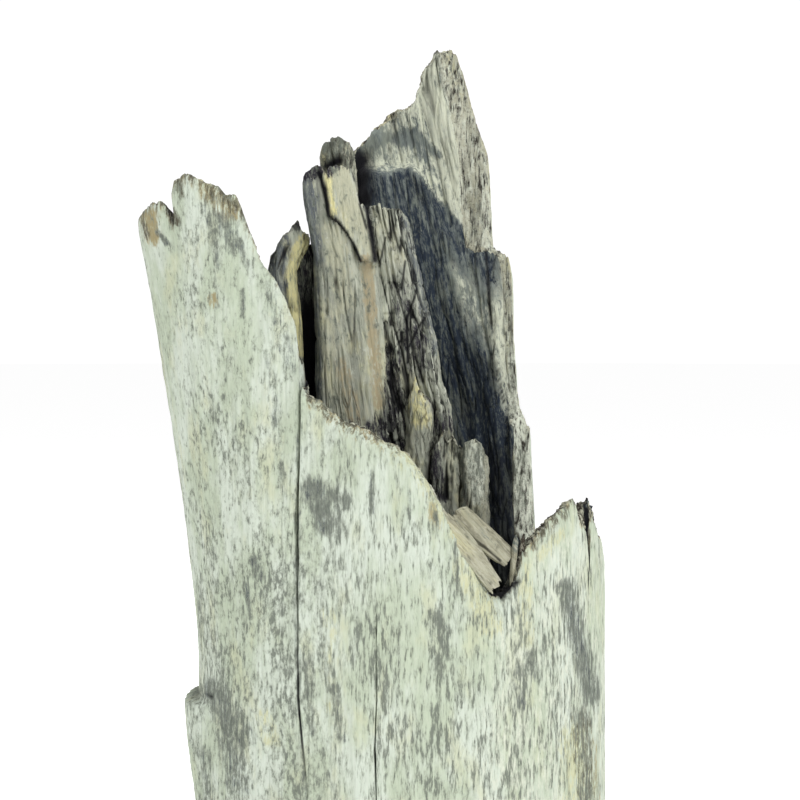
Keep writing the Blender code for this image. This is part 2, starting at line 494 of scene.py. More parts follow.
class Graph:
    """A node tree that is written a node at a time."""

    def __init__(self, tree: bpy.types.NodeTree) -> None:
        """Keeps the tree.

        Args:
            tree: the tree that nodes are added to.
        """
        self.tree = tree

    def node(self, kind: str, settings: dict | None = None, **inputs: object) -> bpy.types.Node:
        """Adds a node.

        Args:
            kind: the node's type, without "ShaderNode".
            settings: properties of the node.
            inputs: a value or a socket for each input, by its name in lower case, or i and
                its number.

        Returns:
            The node.
        """
        made = self.tree.nodes.new(f"ShaderNode{kind}")
        for name, value in (settings or {}).items():
            setattr(made, name, value)
        for name, value in inputs.items():
            self.feed(self.socket(made, name), value)
        return made

    def socket(self, node: bpy.types.Node, name: str) -> Socket:
        """Finds an input.

        Args:
            node: the node.
            name: the input's name in lower case with _ for a space, or i and its number.

        Returns:
            The socket.
        """
        if name[0] == "i" and name[1:].isdigit():
            return node.inputs[int(name[1:])]
        for socket in node.inputs:
            if socket.name.lower().replace(" ", "_") == name and socket.enabled:
                return socket
        raise KeyError(f"{node.bl_idname} has no input {name}")

    def feed(self, socket: Socket, value: object) -> None:
        """Links a socket to an input, or sets the input's value.

        Args:
            socket: the input.
            value: a value or a socket.
        """
        if isinstance(value, Socket):
            self.tree.links.new(value, socket)
        else:
            socket.default_value = value

    def maths(self, operation: str, first: object, second: object = 0.0) -> Socket:
        """A Math node's result.

        Args:
            operation: the node's operation.
            first: a value or a socket.
            second: a value or a socket.

        Returns:
            The result's socket.
        """
        return self.node("Math", {"operation": operation}, i0=first, i1=second).outputs[0]

    def times(self, value: object, *weights: object) -> Socket:
        """The product of some values or sockets.

        Args:
            value: the first one.
            weights: the others.

        Returns:
            The product's socket.
        """
        for weight in weights:
            value = self.maths("MULTIPLY", value, weight)
        return value

    def total(self, value: object, *others: object) -> Socket:
        """The sum of some values or sockets.

        Args:
            value: the first one.
            others: the others.

        Returns:
            The sum's socket.
        """
        for other in others:
            value = self.maths("ADD", value, other)
        return value

    def ramp(
        self, value: object, low: float, high: float, top: float = 1.0
    ) -> Socket:
        """A smooth rise of a value from 0 at low to top at high.

        Args:
            value: a value or a socket.
            low: where the rise begins.
            high: where it ends.
            top: how high it goes.

        Returns:
            The result's socket.
        """
        node = self.node(
            "MapRange", {"interpolation_type": "SMOOTHSTEP"}, value=value, from_min=low,
            from_max=high, to_min=0.0, to_max=top,
        )
        return node.outputs[0]

    def blend(self, share: object, first: object, second: object) -> Socket:
        """A mix of two colours.

        Args:
            share: how much of the second colour, a value or a socket.
            first: a colour or a socket.
            second: a colour or a socket.

        Returns:
            The colour's socket.
        """
        node = self.node("Mix", {"data_type": "RGBA"})
        self.feed(node.inputs[0], share)
        self.feed(node.inputs[6], first)
        self.feed(node.inputs[7], second)
        return node.outputs[2]

    def noise(
        self, vector: object, scale: float, detail: float, rough: float = 0.6
    ) -> Socket:
        """A noise texture's value.

        Args:
            vector: where it is read.
            scale: its scale.
            detail: its number of layers.
            rough: how strong the finer layers are.

        Returns:
            The value's socket.
        """
        node = self.node("TexNoise", vector=vector, scale=scale, detail=detail, roughness=rough)
        return node.outputs["Fac"]

    def mask(self, which: Paint) -> Socket:
        """A painted mask's value."""
        return self.node("Attribute", {"attribute_name": which.value}).outputs["Fac"]


class Effect(Enum):
    """The shader node groups that the finishes share."""

    GRAIN = "wood grain"
    SPECKLE = "lichen speckle"
    CLOUDS = "weather clouds"
    FISSURES = "drying fissures"
    CRUMB = "torn crumb"


@dataclass
class Effects:
    """Builds the shared node groups once, and places them in materials."""

    trees: dict[Effect, bpy.types.NodeTree] = field(default_factory=dict)

    def build(self) -> Effects:
        """Builds every group.

        Returns:
            The same effects, ready to be placed.
        """
        self._grain()
        self._speckle()
        self._clouds()
        self._fissures()
        self._crumb()
        return self

    def place(self, graph: Graph, effect: Effect, **inputs: object) -> bpy.types.NodeOutputs:
        """Puts a group in a material.

        Args:
            graph: the material's graph.
            effect: which group.
            inputs: a value or a socket for each of its inputs, by name.

        Returns:
            The group's outputs.
        """
        node = graph.node("Group", {"node_tree": self.trees[effect]})
        for name, value in inputs.items():
            graph.feed(node.inputs[name], value)
        return node.outputs

    def _start(
        self, effect: Effect, inputs: dict[str, float], outputs: tuple[str, ...]
    ) -> tuple[Graph, bpy.types.NodeOutputs, bpy.types.NodeInputs]:
        """Starts a group with a Vector, a Lean and some number inputs.

        Args:
            effect: which group.
            inputs: the value of each number input.
            outputs: the names of the number outputs.

        Returns:
            The group's graph, what comes in and what goes out.
        """
        tree = bpy.data.node_groups.new(effect.value, "ShaderNodeTree")
        tree.interface.new_socket("Vector", in_out="INPUT", socket_type="NodeSocketVector")
        for label, value in {"Lean": 0.0, **inputs}.items():
            socket = tree.interface.new_socket(label, in_out="INPUT", socket_type="NodeSocketFloat")
            socket.default_value = value
        for label in outputs:
            tree.interface.new_socket(label, in_out="OUTPUT", socket_type="NodeSocketFloat")
        given, result = tree.nodes.new("NodeGroupInput"), tree.nodes.new("NodeGroupOutput")
        self.trees[effect] = tree
        return Graph(tree), given.outputs, result.inputs

    def _laid(
        self, graph: Graph, given: bpy.types.NodeOutputs, across: object, length: object
    ) -> Socket:
        """Lays a group's Vector out along its leaning fibres.

        Args:
            graph: the group's graph.
            given: what comes into the group.
            across: cells for each metre across the fibres.
            length: cells for each metre along them.

        Returns:
            The laid vector's socket.
        """
        split = graph.node("SeparateXYZ", vector=given["Vector"]).outputs
        sideways = graph.total(split["X"], graph.times(split["Z"], given["Lean"]))
        laid = graph.node(
            "CombineXYZ", x=graph.times(sideways, across), y=graph.times(split["Y"], across),
            z=graph.times(split["Z"], length),
        )
        return laid.outputs[0]

    def _grain(self) -> None:
        """Fine and broad streaks along the fibres."""
        graph, given, result = self._start(
            Effect.GRAIN, {"Across": 500.0, "Along": 18.0}, ("Fine", "Broad")
        )
        laid = self._laid(graph, given, given["Across"], given["Along"])
        graph.feed(result["Fine"], graph.noise(laid, 1.0, 4.0, 0.65))
        graph.feed(result["Broad"], graph.noise(laid, 0.16, 3.0))

    def _speckle(self) -> None:
        """Small soft marks in drifts, rounder or drawn out along the fibres."""
        graph, given, result = self._start(
            Effect.SPECKLE, {"Density": 0.5, "Run": 0.5}, ("Soft", "Dark", "Light")
        )
        round_marks = graph.noise(self._laid(graph, given, 235.0, 105.0), 1.0, 4.0, 0.72)
        long_marks = graph.noise(self._laid(graph, given, 310.0, 60.0), 1.0, 4.0, 0.7)
        spread = graph.node(
            "Mix", {"data_type": "FLOAT"}, i0=given["Run"], i2=round_marks, i3=long_marks
        )
        drift = graph.maths("SUBTRACT", graph.noise(given["Vector"], 15.0, 4.0, 0.65), 0.5)
        density = graph.times(graph.maths("SUBTRACT", given["Density"], 0.5), 0.2)
        level = graph.total(spread.outputs[0], graph.times(drift, 0.32), density)
        graph.feed(result["Soft"], graph.ramp(level, 0.49, 0.61))
        graph.feed(result["Dark"], graph.ramp(level, 0.575, 0.69))
        graph.feed(result["Light"], graph.ramp(level, 0.45, 0.32))

    def _clouds(self) -> None:
        """Uneven clouds drawn out along the fibres, and a ragged noise for edges."""
        graph, given, result = self._start(
            Effect.CLOUDS, {"Across": 22.0, "Along": 9.0}, ("Cloud", "Second", "Ragged")
        )
        laid = self._laid(graph, given, given["Across"], given["Along"])
        graph.feed(result["Cloud"], graph.noise(laid, 1.0, 5.0, 0.62))
        moved = graph.node(
            "VectorMath", {"operation": "ADD"}, i0=laid, i1=(7.3, 2.1, 5.9)
        ).outputs[0]
        graph.feed(result["Second"], graph.noise(moved, 1.7, 4.0, 0.6))
        graph.feed(result["Ragged"], graph.noise(laid, 9.0, 4.0, 0.72))

    def _fissures(self) -> None:
        """A net of dark drying cracks, drawn out along the fibres."""
        graph, given, result = self._start(
            Effect.FISSURES, {"Across": 105.0, "Along": 17.0, "Width": 0.06}, ("Mask",)
        )
        laid = self._laid(graph, given, given["Across"], given["Along"])
        sway = graph.node("TexNoise", vector=laid, scale=1.3, detail=3.0, roughness=0.6)
        push = graph.node("VectorMath", {"operation": "SCALE"}, i0=sway.outputs["Color"], scale=0.9)
        bent = graph.node("VectorMath", {"operation": "ADD"}, i0=laid, i1=push.outputs[0])
        cells = graph.node(
            "TexVoronoi", {"feature": "DISTANCE_TO_EDGE"}, vector=bent.outputs[0], scale=1.0,
        )
        gap = graph.maths("DIVIDE", cells.outputs["Distance"], given["Width"])
        line = graph.ramp(gap, 1.0, 0.15)
        shown = graph.ramp(graph.noise(given["Vector"], 30.0, 3.0), 0.42, 0.58)
        graph.feed(result["Mask"], graph.times(line, shown))

    def _crumb(self) -> None:
        """Granular torn wood with no direction, with painted shade in its pits."""
        graph, given, result = self._start(Effect.CRUMB, {"Scale": 330.0}, ("Height", "PitShade"))
        sized = graph.node("VectorMath", {"operation": "SCALE"}, i0=given["Vector"])
        graph.feed(sized.inputs["Scale"], given["Scale"])
        height = graph.noise(sized.outputs[0], 1.0, 4.0, 0.7)
        graph.feed(result["Height"], height)
        # The low pits of the crumb's height get painted shade.
        graph.feed(result["PitShade"], graph.ramp(height, 0.47, 0.34))


# --------------------------------------------------------------------------- finishes

Colour = tuple[float, float, float, float]


def tint(red: float, green: float, blue: float) -> Colour:
    """An opaque linear colour."""
    return (red, green, blue, 1.0)


@dataclass(frozen=True)
class WoodFinish:
    """One kind of dead wood surface, with the masks of Paint laid over it.

    streaks, lights, speckles, flecks, fissures and crumb say how strongly each of those shows,
    and stain_full how much of the stain mask gives the whole stain.
    """

    name: str
    body: Colour
    second: Colour
    dark: Colour
    pale: Colour = tint(0.6, 0.63, 0.52)
    light: Colour = tint(0.66, 0.69, 0.6)
    speckle: Colour = tint(0.27, 0.295, 0.235)
    fleck: Colour = tint(0.115, 0.13, 0.11)
    stain: Colour = tint(0.14, 0.16, 0.145)
    warm: Colour = tint(0.4, 0.31, 0.15)
    yellow: Colour = tint(0.58, 0.54, 0.3)
    decay: Colour = tint(0.026, 0.036, 0.056)
    black: Colour = tint(0.003, 0.003, 0.005)
    lean: float = 0.0
    grain_across: float = 520.0
    grain_along: float = 20.0
    streaks: float = 0.4
    lights: float = 0.5
    speckles: float = 0.6
    flecks: float = 0.85
    fissures: float = 0.0
    fissure_across: float = 105.0
    fissure_along: float = 17.0
    crumb: float = 0.0
    relief: float = 0.0012
    stain_full: float = 0.85

    def build(self, effects: Effects) -> bpy.types.Material:
        """Makes the material.

        Args:
            effects: the shared node groups.

        Returns:
            The material.
        """
        material = bpy.data.materials.new(self.name)
        material.use_nodes = True
        material.node_tree.nodes.clear()
        graph = Graph(material.node_tree)
        where = graph.node("TexCoord").outputs["Object"]
        grain = effects.place(
            graph, Effect.GRAIN, Vector=where, Lean=self.lean, Across=self.grain_across,
            Along=self.grain_along,
        )
        marks = effects.place(
            graph, Effect.SPECKLE, Vector=where, Lean=self.lean, Density=graph.mask(Paint.FLECKS),
            Run=graph.mask(Paint.RUN),
        )
        clouds = effects.place(graph, Effect.CLOUDS, Vector=where, Lean=self.lean)
        crumb = effects.place(graph, Effect.CRUMB, Vector=where)
        cracks = effects.place(
            graph, Effect.FISSURES, Vector=where, Lean=self.lean, Across=self.fissure_across,
            Along=self.fissure_along,
        )
        crack = graph.times(cracks["Mask"], self.fissures, graph.mask(Paint.RUN))
        colour = self._ground(graph, grain, clouds)
        colour = self._overlays(graph, colour, clouds, grain)
        colour = graph.blend(graph.times(marks["Light"], self.lights), colour, self.light)
        colour = graph.blend(graph.times(marks["Soft"], self.speckles), colour, self.speckle)
        colour = graph.blend(graph.times(marks["Dark"], self.flecks), colour, self.fleck)
        # Painted shade in the crumb's pits.
        colour = graph.blend(graph.times(crumb["PitShade"], self.crumb), colour, self.dark)
        colour = graph.blend(crack, colour, self.black)
        # Black painted shade from the crevice mask.
        colour = graph.blend(graph.mask(Paint.CREVICE), colour, self.black)
        height = graph.total(
            graph.times(grain["Fine"], 0.9), graph.times(grain["Broad"], 0.8),
            graph.times(marks["Dark"], -0.35), graph.times(crack, -1.6),
            graph.times(crumb["Height"], 2.2 * self.crumb),
        )
        bump = graph.node("Bump", strength=0.9, distance=self.relief, height=height)
        rough = graph.total(graph.times(grain["Fine"], 0.14), 0.78)
        shader = graph.node(
            "BsdfPrincipled", base_color=colour, roughness=rough, normal=bump.outputs[0]
        )
        shader.inputs["Specular IOR Level"].default_value = 0.22
        graph.feed(graph.node("OutputMaterial").inputs["Surface"], shader.outputs[0])
        return material

    def _ground(
        self, graph: Graph, grain: bpy.types.NodeOutputs, clouds: bpy.types.NodeOutputs
    ) -> Socket:
        """The bare wood's colour, before anything lies on it.

        Args:
            graph: the material's graph.
            grain: what the grain group gives.
            clouds: what the clouds group gives.

        Returns:
            The colour's socket.
        """
        colour = graph.blend(graph.ramp(clouds["Cloud"], 0.4, 0.6), self.body, self.second)
        colour = graph.blend(graph.ramp(clouds["Second"], 0.5, 0.68, 0.5), colour, self.yellow)
        colour = graph.blend(graph.ramp(grain["Fine"], 0.46, 0.74, self.streaks), colour, self.dark)
        return graph.blend(graph.ramp(grain["Broad"], 0.5, 0.76, self.streaks), colour, self.dark)

    def _overlays(
        self, graph: Graph, colour: Socket, clouds: bpy.types.NodeOutputs,
        grain: bpy.types.NodeOutputs,
    ) -> Socket:
        """Lays the painted masks over the bare wood, each with ragged edges.

        Args:
            graph: the material's graph.
            colour: the bare wood's colour.
            clouds: what the clouds group gives.
            grain: what the grain group gives.

        Returns:
            The colour's socket.
        """
        rag = graph.times(graph.maths("SUBTRACT", clouds["Ragged"], 0.5), 2.6)
        thread = graph.times(graph.maths("SUBTRACT", grain["Fine"], 0.5), 1.6)
        edge = graph.total(rag, thread)
        for mask, over in (
            (Paint.PALE, self.pale), (Paint.WARM, self.warm), (Paint.YELLOW, self.yellow),
            (Paint.STAIN, self.stain), (Paint.DECAY, self.decay),
        ):
            amount = graph.mask(mask)
            level = graph.total(amount, graph.times(edge, graph.ramp(amount, 0.0, 0.3)))
            full = self.stain_full if mask is Paint.STAIN else 0.85
            colour = graph.blend(graph.ramp(level, 0.08, full), colour, over)
        return colour


BLEACHED = WoodFinish(
    "bleached_wood",
    body=tint(0.455, 0.515, 0.395),
    second=tint(0.565, 0.62, 0.535),
    dark=tint(0.31, 0.345, 0.27),
    yellow=tint(0.52, 0.53, 0.34),
    warm=tint(0.315, 0.27, 0.145),
    decay=tint(0.085, 0.08, 0.055),
    stain=tint(0.07, 0.082, 0.084),
    stain_full=1.08,
    streaks=0.3,
    lights=0.22,
    speckles=0.58,
    flecks=0.75,
)
TORN = WoodFinish(
    "torn_wood",
    body=tint(0.4, 0.395, 0.295),
    second=tint(0.52, 0.52, 0.41),
    dark=tint(0.1, 0.095, 0.075),
    warm=tint(0.3, 0.2, 0.09),
    light=tint(0.56, 0.55, 0.43),
    decay=tint(0.022, 0.017, 0.013),
    pale=tint(0.66, 0.69, 0.58),
    grain_along=60.0,
    streaks=0.35,
    speckles=0.5,
    flecks=0.7,
    crumb=0.6,
    relief=0.0014,
)
SPLIT = WoodFinish(
    "split_wood",
    body=tint(0.325, 0.315, 0.225),
    second=tint(0.4, 0.395, 0.295),
    dark=tint(0.11, 0.1, 0.07),
    pale=tint(0.48, 0.47, 0.37),
    decay=tint(0.03, 0.022, 0.016),
    light=tint(0.48, 0.47, 0.37),
    lean=0.95,
    grain_along=16.0,
    streaks=0.7,
    speckles=0.45,
    flecks=0.7,
    relief=0.0014,
)
DECAYED = WoodFinish(
    "decayed_wood",
    body=tint(0.115, 0.135, 0.125),
    second=tint(0.19, 0.215, 0.195),
    dark=tint(0.035, 0.045, 0.055),
    pale=tint(0.58, 0.6, 0.475),
    light=tint(0.27, 0.3, 0.28),
    yellow=tint(0.25, 0.27, 0.21),
    decay=tint(0.018, 0.027, 0.042),
    lean=0.17,
    grain_across=340.0,
    grain_along=11.0,
    streaks=0.7,
    lights=0.3,
    speckles=0.35,
    flecks=0.5,
    fissures=0.35,
    fissure_across=60.0,
    fissure_along=9.0,
    relief=0.0018,
)
HEARTWOOD = WoodFinish(
    "heartwood",
    body=tint(0.33, 0.345, 0.275),
    second=tint(0.47, 0.49, 0.4),
    dark=tint(0.095, 0.095, 0.088),
    pale=tint(0.43, 0.43, 0.315),
    light=tint(0.56, 0.58, 0.49),
    warm=tint(0.37, 0.32, 0.205),
    stain=tint(0.13, 0.145, 0.15),
    yellow=tint(0.64, 0.6, 0.31),
    decay=tint(0.022, 0.019, 0.028),
    lean=0.12,
    grain_across=380.0,
    grain_along=16.0,
    streaks=0.55,
    lights=0.6,
    speckles=0.5,
    flecks=0.75,
    fissures=0.75,
    relief=0.002,
)


# --------------------------------------------------------------------------- the wall


class Region(Enum):
    """What a vertex of the wall belongs to."""

    OUTER = 0
    RIM = 1
    HOLLOW = 2
    FLOOR = 3
    FOOT = 4


OUTER_STROKES = (
    *streaks(
        Paint.STAIN, (-0.0845, 0.446, -0.071, 0.438, 0.011, 0.95),
        (-0.076, 0.43, -0.07, 0.41, 0.0095, 0.95), (-0.0515, 0.441, -0.051, 0.43, 0.0035, 0.8),
        (-0.026, 0.462, -0.0265, 0.424, 0.0028, 0.7), (-0.06, 0.445, -0.059, 0.395, 0.0025, 0.6),
        (-0.096, 0.45, -0.0965, 0.42, 0.004, 0.4), (-0.138, 0.374, -0.134, 0.36, 0.0055, 0.9),
        (-0.146, 0.352, -0.144, 0.33, 0.003, 0.6), (-0.18, 0.24, -0.156, 0.205, 0.015, 0.75),
        (-0.164, 0.2, -0.156, 0.16, 0.014, 0.65), (-0.19, 0.18, -0.188, 0.12, 0.008, 0.5),
        (-0.062, 0.258, -0.056, 0.212, 0.0055, 0.6), (-0.087, 0.3, -0.085, 0.215, 0.005, 0.45),
        (0.16, 0.345, 0.187, 0.235, 0.0095, 0.8), (0.124, 0.286, 0.13, 0.262, 0.0055, 0.5),
        (0.04, 0.316, 0.045, 0.29, 0.005, 0.5), (0.052, 0.398, 0.054, 0.35, 0.0025, 0.5),
        (0.008, 0.445, 0.009, 0.4, 0.0022, 0.5), (-0.182, 0.712, -0.16, 0.69, 0.0085, 0.45),
        (-0.16, 0.7, -0.144, 0.655, 0.004, 0.5), (-0.18, 0.7, -0.172, 0.655, 0.0045, 0.45),
        (-0.233, 0.688, -0.223, 0.676, 0.0028, 0.9), (-0.149, 0.632, -0.148, 0.608, 0.0026, 0.7),
        (-0.125, 0.64, -0.104, 0.56, 0.008, 0.35), (-0.123, 0.57, -0.11, 0.44, 0.005, 0.3),
        (0.178, 0.215, 0.182, 0.13, 0.008, 0.5), (-0.17, 0.704, -0.158, 0.672, 0.0075, 0.6),
        (0.112, 0.27, 0.116, 0.24, 0.008, 0.5), (0.033, 0.33, 0.036, 0.27, 0.007, 0.4),
    ),
    *streaks(
        Paint.WARM, (-0.179, 0.726, -0.162, 0.708, 0.011, 0.75),
        (-0.244, 0.704, -0.238, 0.684, 0.0095, 1.0), (-0.178, 0.624, -0.1775, 0.62, 0.0045, 0.75),
        (0.031, 0.43, 0.032, 0.42, 0.004, 1.0), (0.027, 0.442, 0.035, 0.412, 0.006, 0.35),
        (0.187, 0.185, 0.192, 0.13, 0.007, 0.4),
    ),
    *streaks(
        Paint.DECAY, (-0.178, 0.727, -0.16, 0.714, 0.0095, 0.55),
        (-0.212, 0.736, -0.208, 0.722, 0.0045, 0.6), (-0.222, 0.714, -0.214, 0.698, 0.0045, 0.8),
        (-0.248, 0.698, -0.245, 0.684, 0.004, 0.6), (0.176, 0.215, 0.183, 0.13, 0.011, 0.42),
        (0.033, 0.425, 0.033, 0.42, 0.0022, 0.7),
    ),
    *streaks(
        Paint.YELLOW, (0.17, 0.2, 0.175, 0.14, 0.016, 0.7), (0.06, 0.372, 0.085, 0.318, 0.012, 0.6),
        (0.118, 0.372, 0.12, 0.3, 0.008, 0.45), (-0.128, 0.225, -0.123, 0.205, 0.009, 0.5),
        (-0.068, 0.33, -0.064, 0.24, 0.008, 0.3), (0.155, 0.4, 0.135, 0.38, 0.006, 0.5),
    ),
    # Black painted shade in the notch round the splinters' ends, and a short black line low on the
    # left.
    *streaks(
        Paint.CREVICE, (0.088, 0.351, 0.096, 0.344, 0.0034, 1.0),
        (0.096, 0.344, 0.111, 0.357, 0.0032, 1.0), (0.097, 0.346, 0.102, 0.376, 0.0026, 0.9),
        (-0.1895, 0.2375, -0.183, 0.2365, 0.0014, 0.9),
    ),
)
HOLLOW_STROKES = (
    *streaks(
        Paint.PALE, (0.025, 0.85, 0.05, 0.78, 0.02, 1.0), (0.048, 0.79, 0.076, 0.705, 0.023, 0.9),
        (0.01, 0.828, 0.042, 0.88, 0.022, 0.8), (-0.01, 0.8, 0.022, 0.812, 0.009, 0.5),
        (-0.012, 0.772, 0.01, 0.768, 0.009, 0.5), (0.012, 0.766, 0.042, 0.708, 0.01, 0.45),
        (0.064, 0.69, 0.086, 0.59, 0.01, 0.3), (0.05, 0.7, 0.076, 0.56, 0.008, 0.35),
        (0.104, 0.65, 0.116, 0.5, 0.017, 0.75), (0.086, 0.6, 0.108, 0.48, 0.008, 0.35),
    ),
    *streaks(Paint.STAIN, (0.018, 0.79, 0.04, 0.77, 0.005, 0.7)),
    *streaks(
        Paint.DECAY, (-0.03, 0.742, 0.002, 0.728, 0.012, 0.5), (0.01, 0.7, 0.06, 0.56, 0.022, 0.75),
        (0.06, 0.56, 0.096, 0.42, 0.03, 0.85), (0.03, 0.6, 0.06, 0.48, 0.022, 0.8),
    ),
    # Black painted shade in the hole behind the knob, in the hollow behind the left break and low
    # at the back right; the first two are thin cracks.
    *streaks(
        Paint.CREVICE, (0.09, 0.676, 0.096, 0.59, 0.0018, 0.9),
        (0.096, 0.56, 0.11, 0.51, 0.0016, 0.8), (-0.042, 0.766, -0.04, 0.722, 0.0135, 1.0),
        (-0.105, 0.62, -0.09, 0.45, 0.03, 1.0), (0.098, 0.44, 0.112, 0.38, 0.024, 0.6),
    ),
)


OUTER_RELIEF = (
    Relief(Form.WAVE, 0.0018, 0.06, 0.26),
    Relief(Form.WAVE, 0.0009, 0.014, 0.12, 3.0),
    Relief(Form.CRACK, -0.0009, 0.009, 0.13, 9.0, (0.07,)),
    Relief(Form.WAVE, 0.0006, 0.0035, 0.028, 21.0),
)
HOLLOW_RELIEF = (
    Relief(Form.WAVE, 0.004, 0.045, 0.2, 31.0),
    Relief(Form.WAVE, 0.0028, 0.015, 0.15, 37.0),
    Relief(Form.CRACK, -0.0026, 0.01, 0.11, 41.0, (0.09,)),
    Relief(Form.WAVE, 0.0012, 0.0045, 0.04, 43.0),
    Relief(Form.PLATE, 0.0022, 0.02, 0.06, 47.0, (0.05, 0.16)),
)
TORN_RELIEF = (
    Relief(Form.WAVE, 0.002, 0.011, 0.011, 51.0),
    Relief(Form.WAVE, 0.0016, 0.0045, 0.0045, 57.0),
    Relief(Form.WAVE, 0.001, 0.002, 0.002, 61.0),
)


@dataclass(frozen=True)
class Spots:
    """What is known of each of the wall's vertices when it is painted.

    left is the angle between -180 and 180, below how far the vertex lies under the rim, or its
    share of the way across it, and relief how far it was moved outwards. ragged and drift are
    fine and broad noise.
    """

    points: Floats
    region: Floats
    angle: Floats
    left: Floats
    height: Floats
    below: Floats
    relief: Floats
    ragged: Floats
    drift: Floats

    def of(self, *regions: Region) -> Floats:
        """Whether each vertex belongs to one of some regions."""
        return np.isin(self.region, [region.value for region in regions])


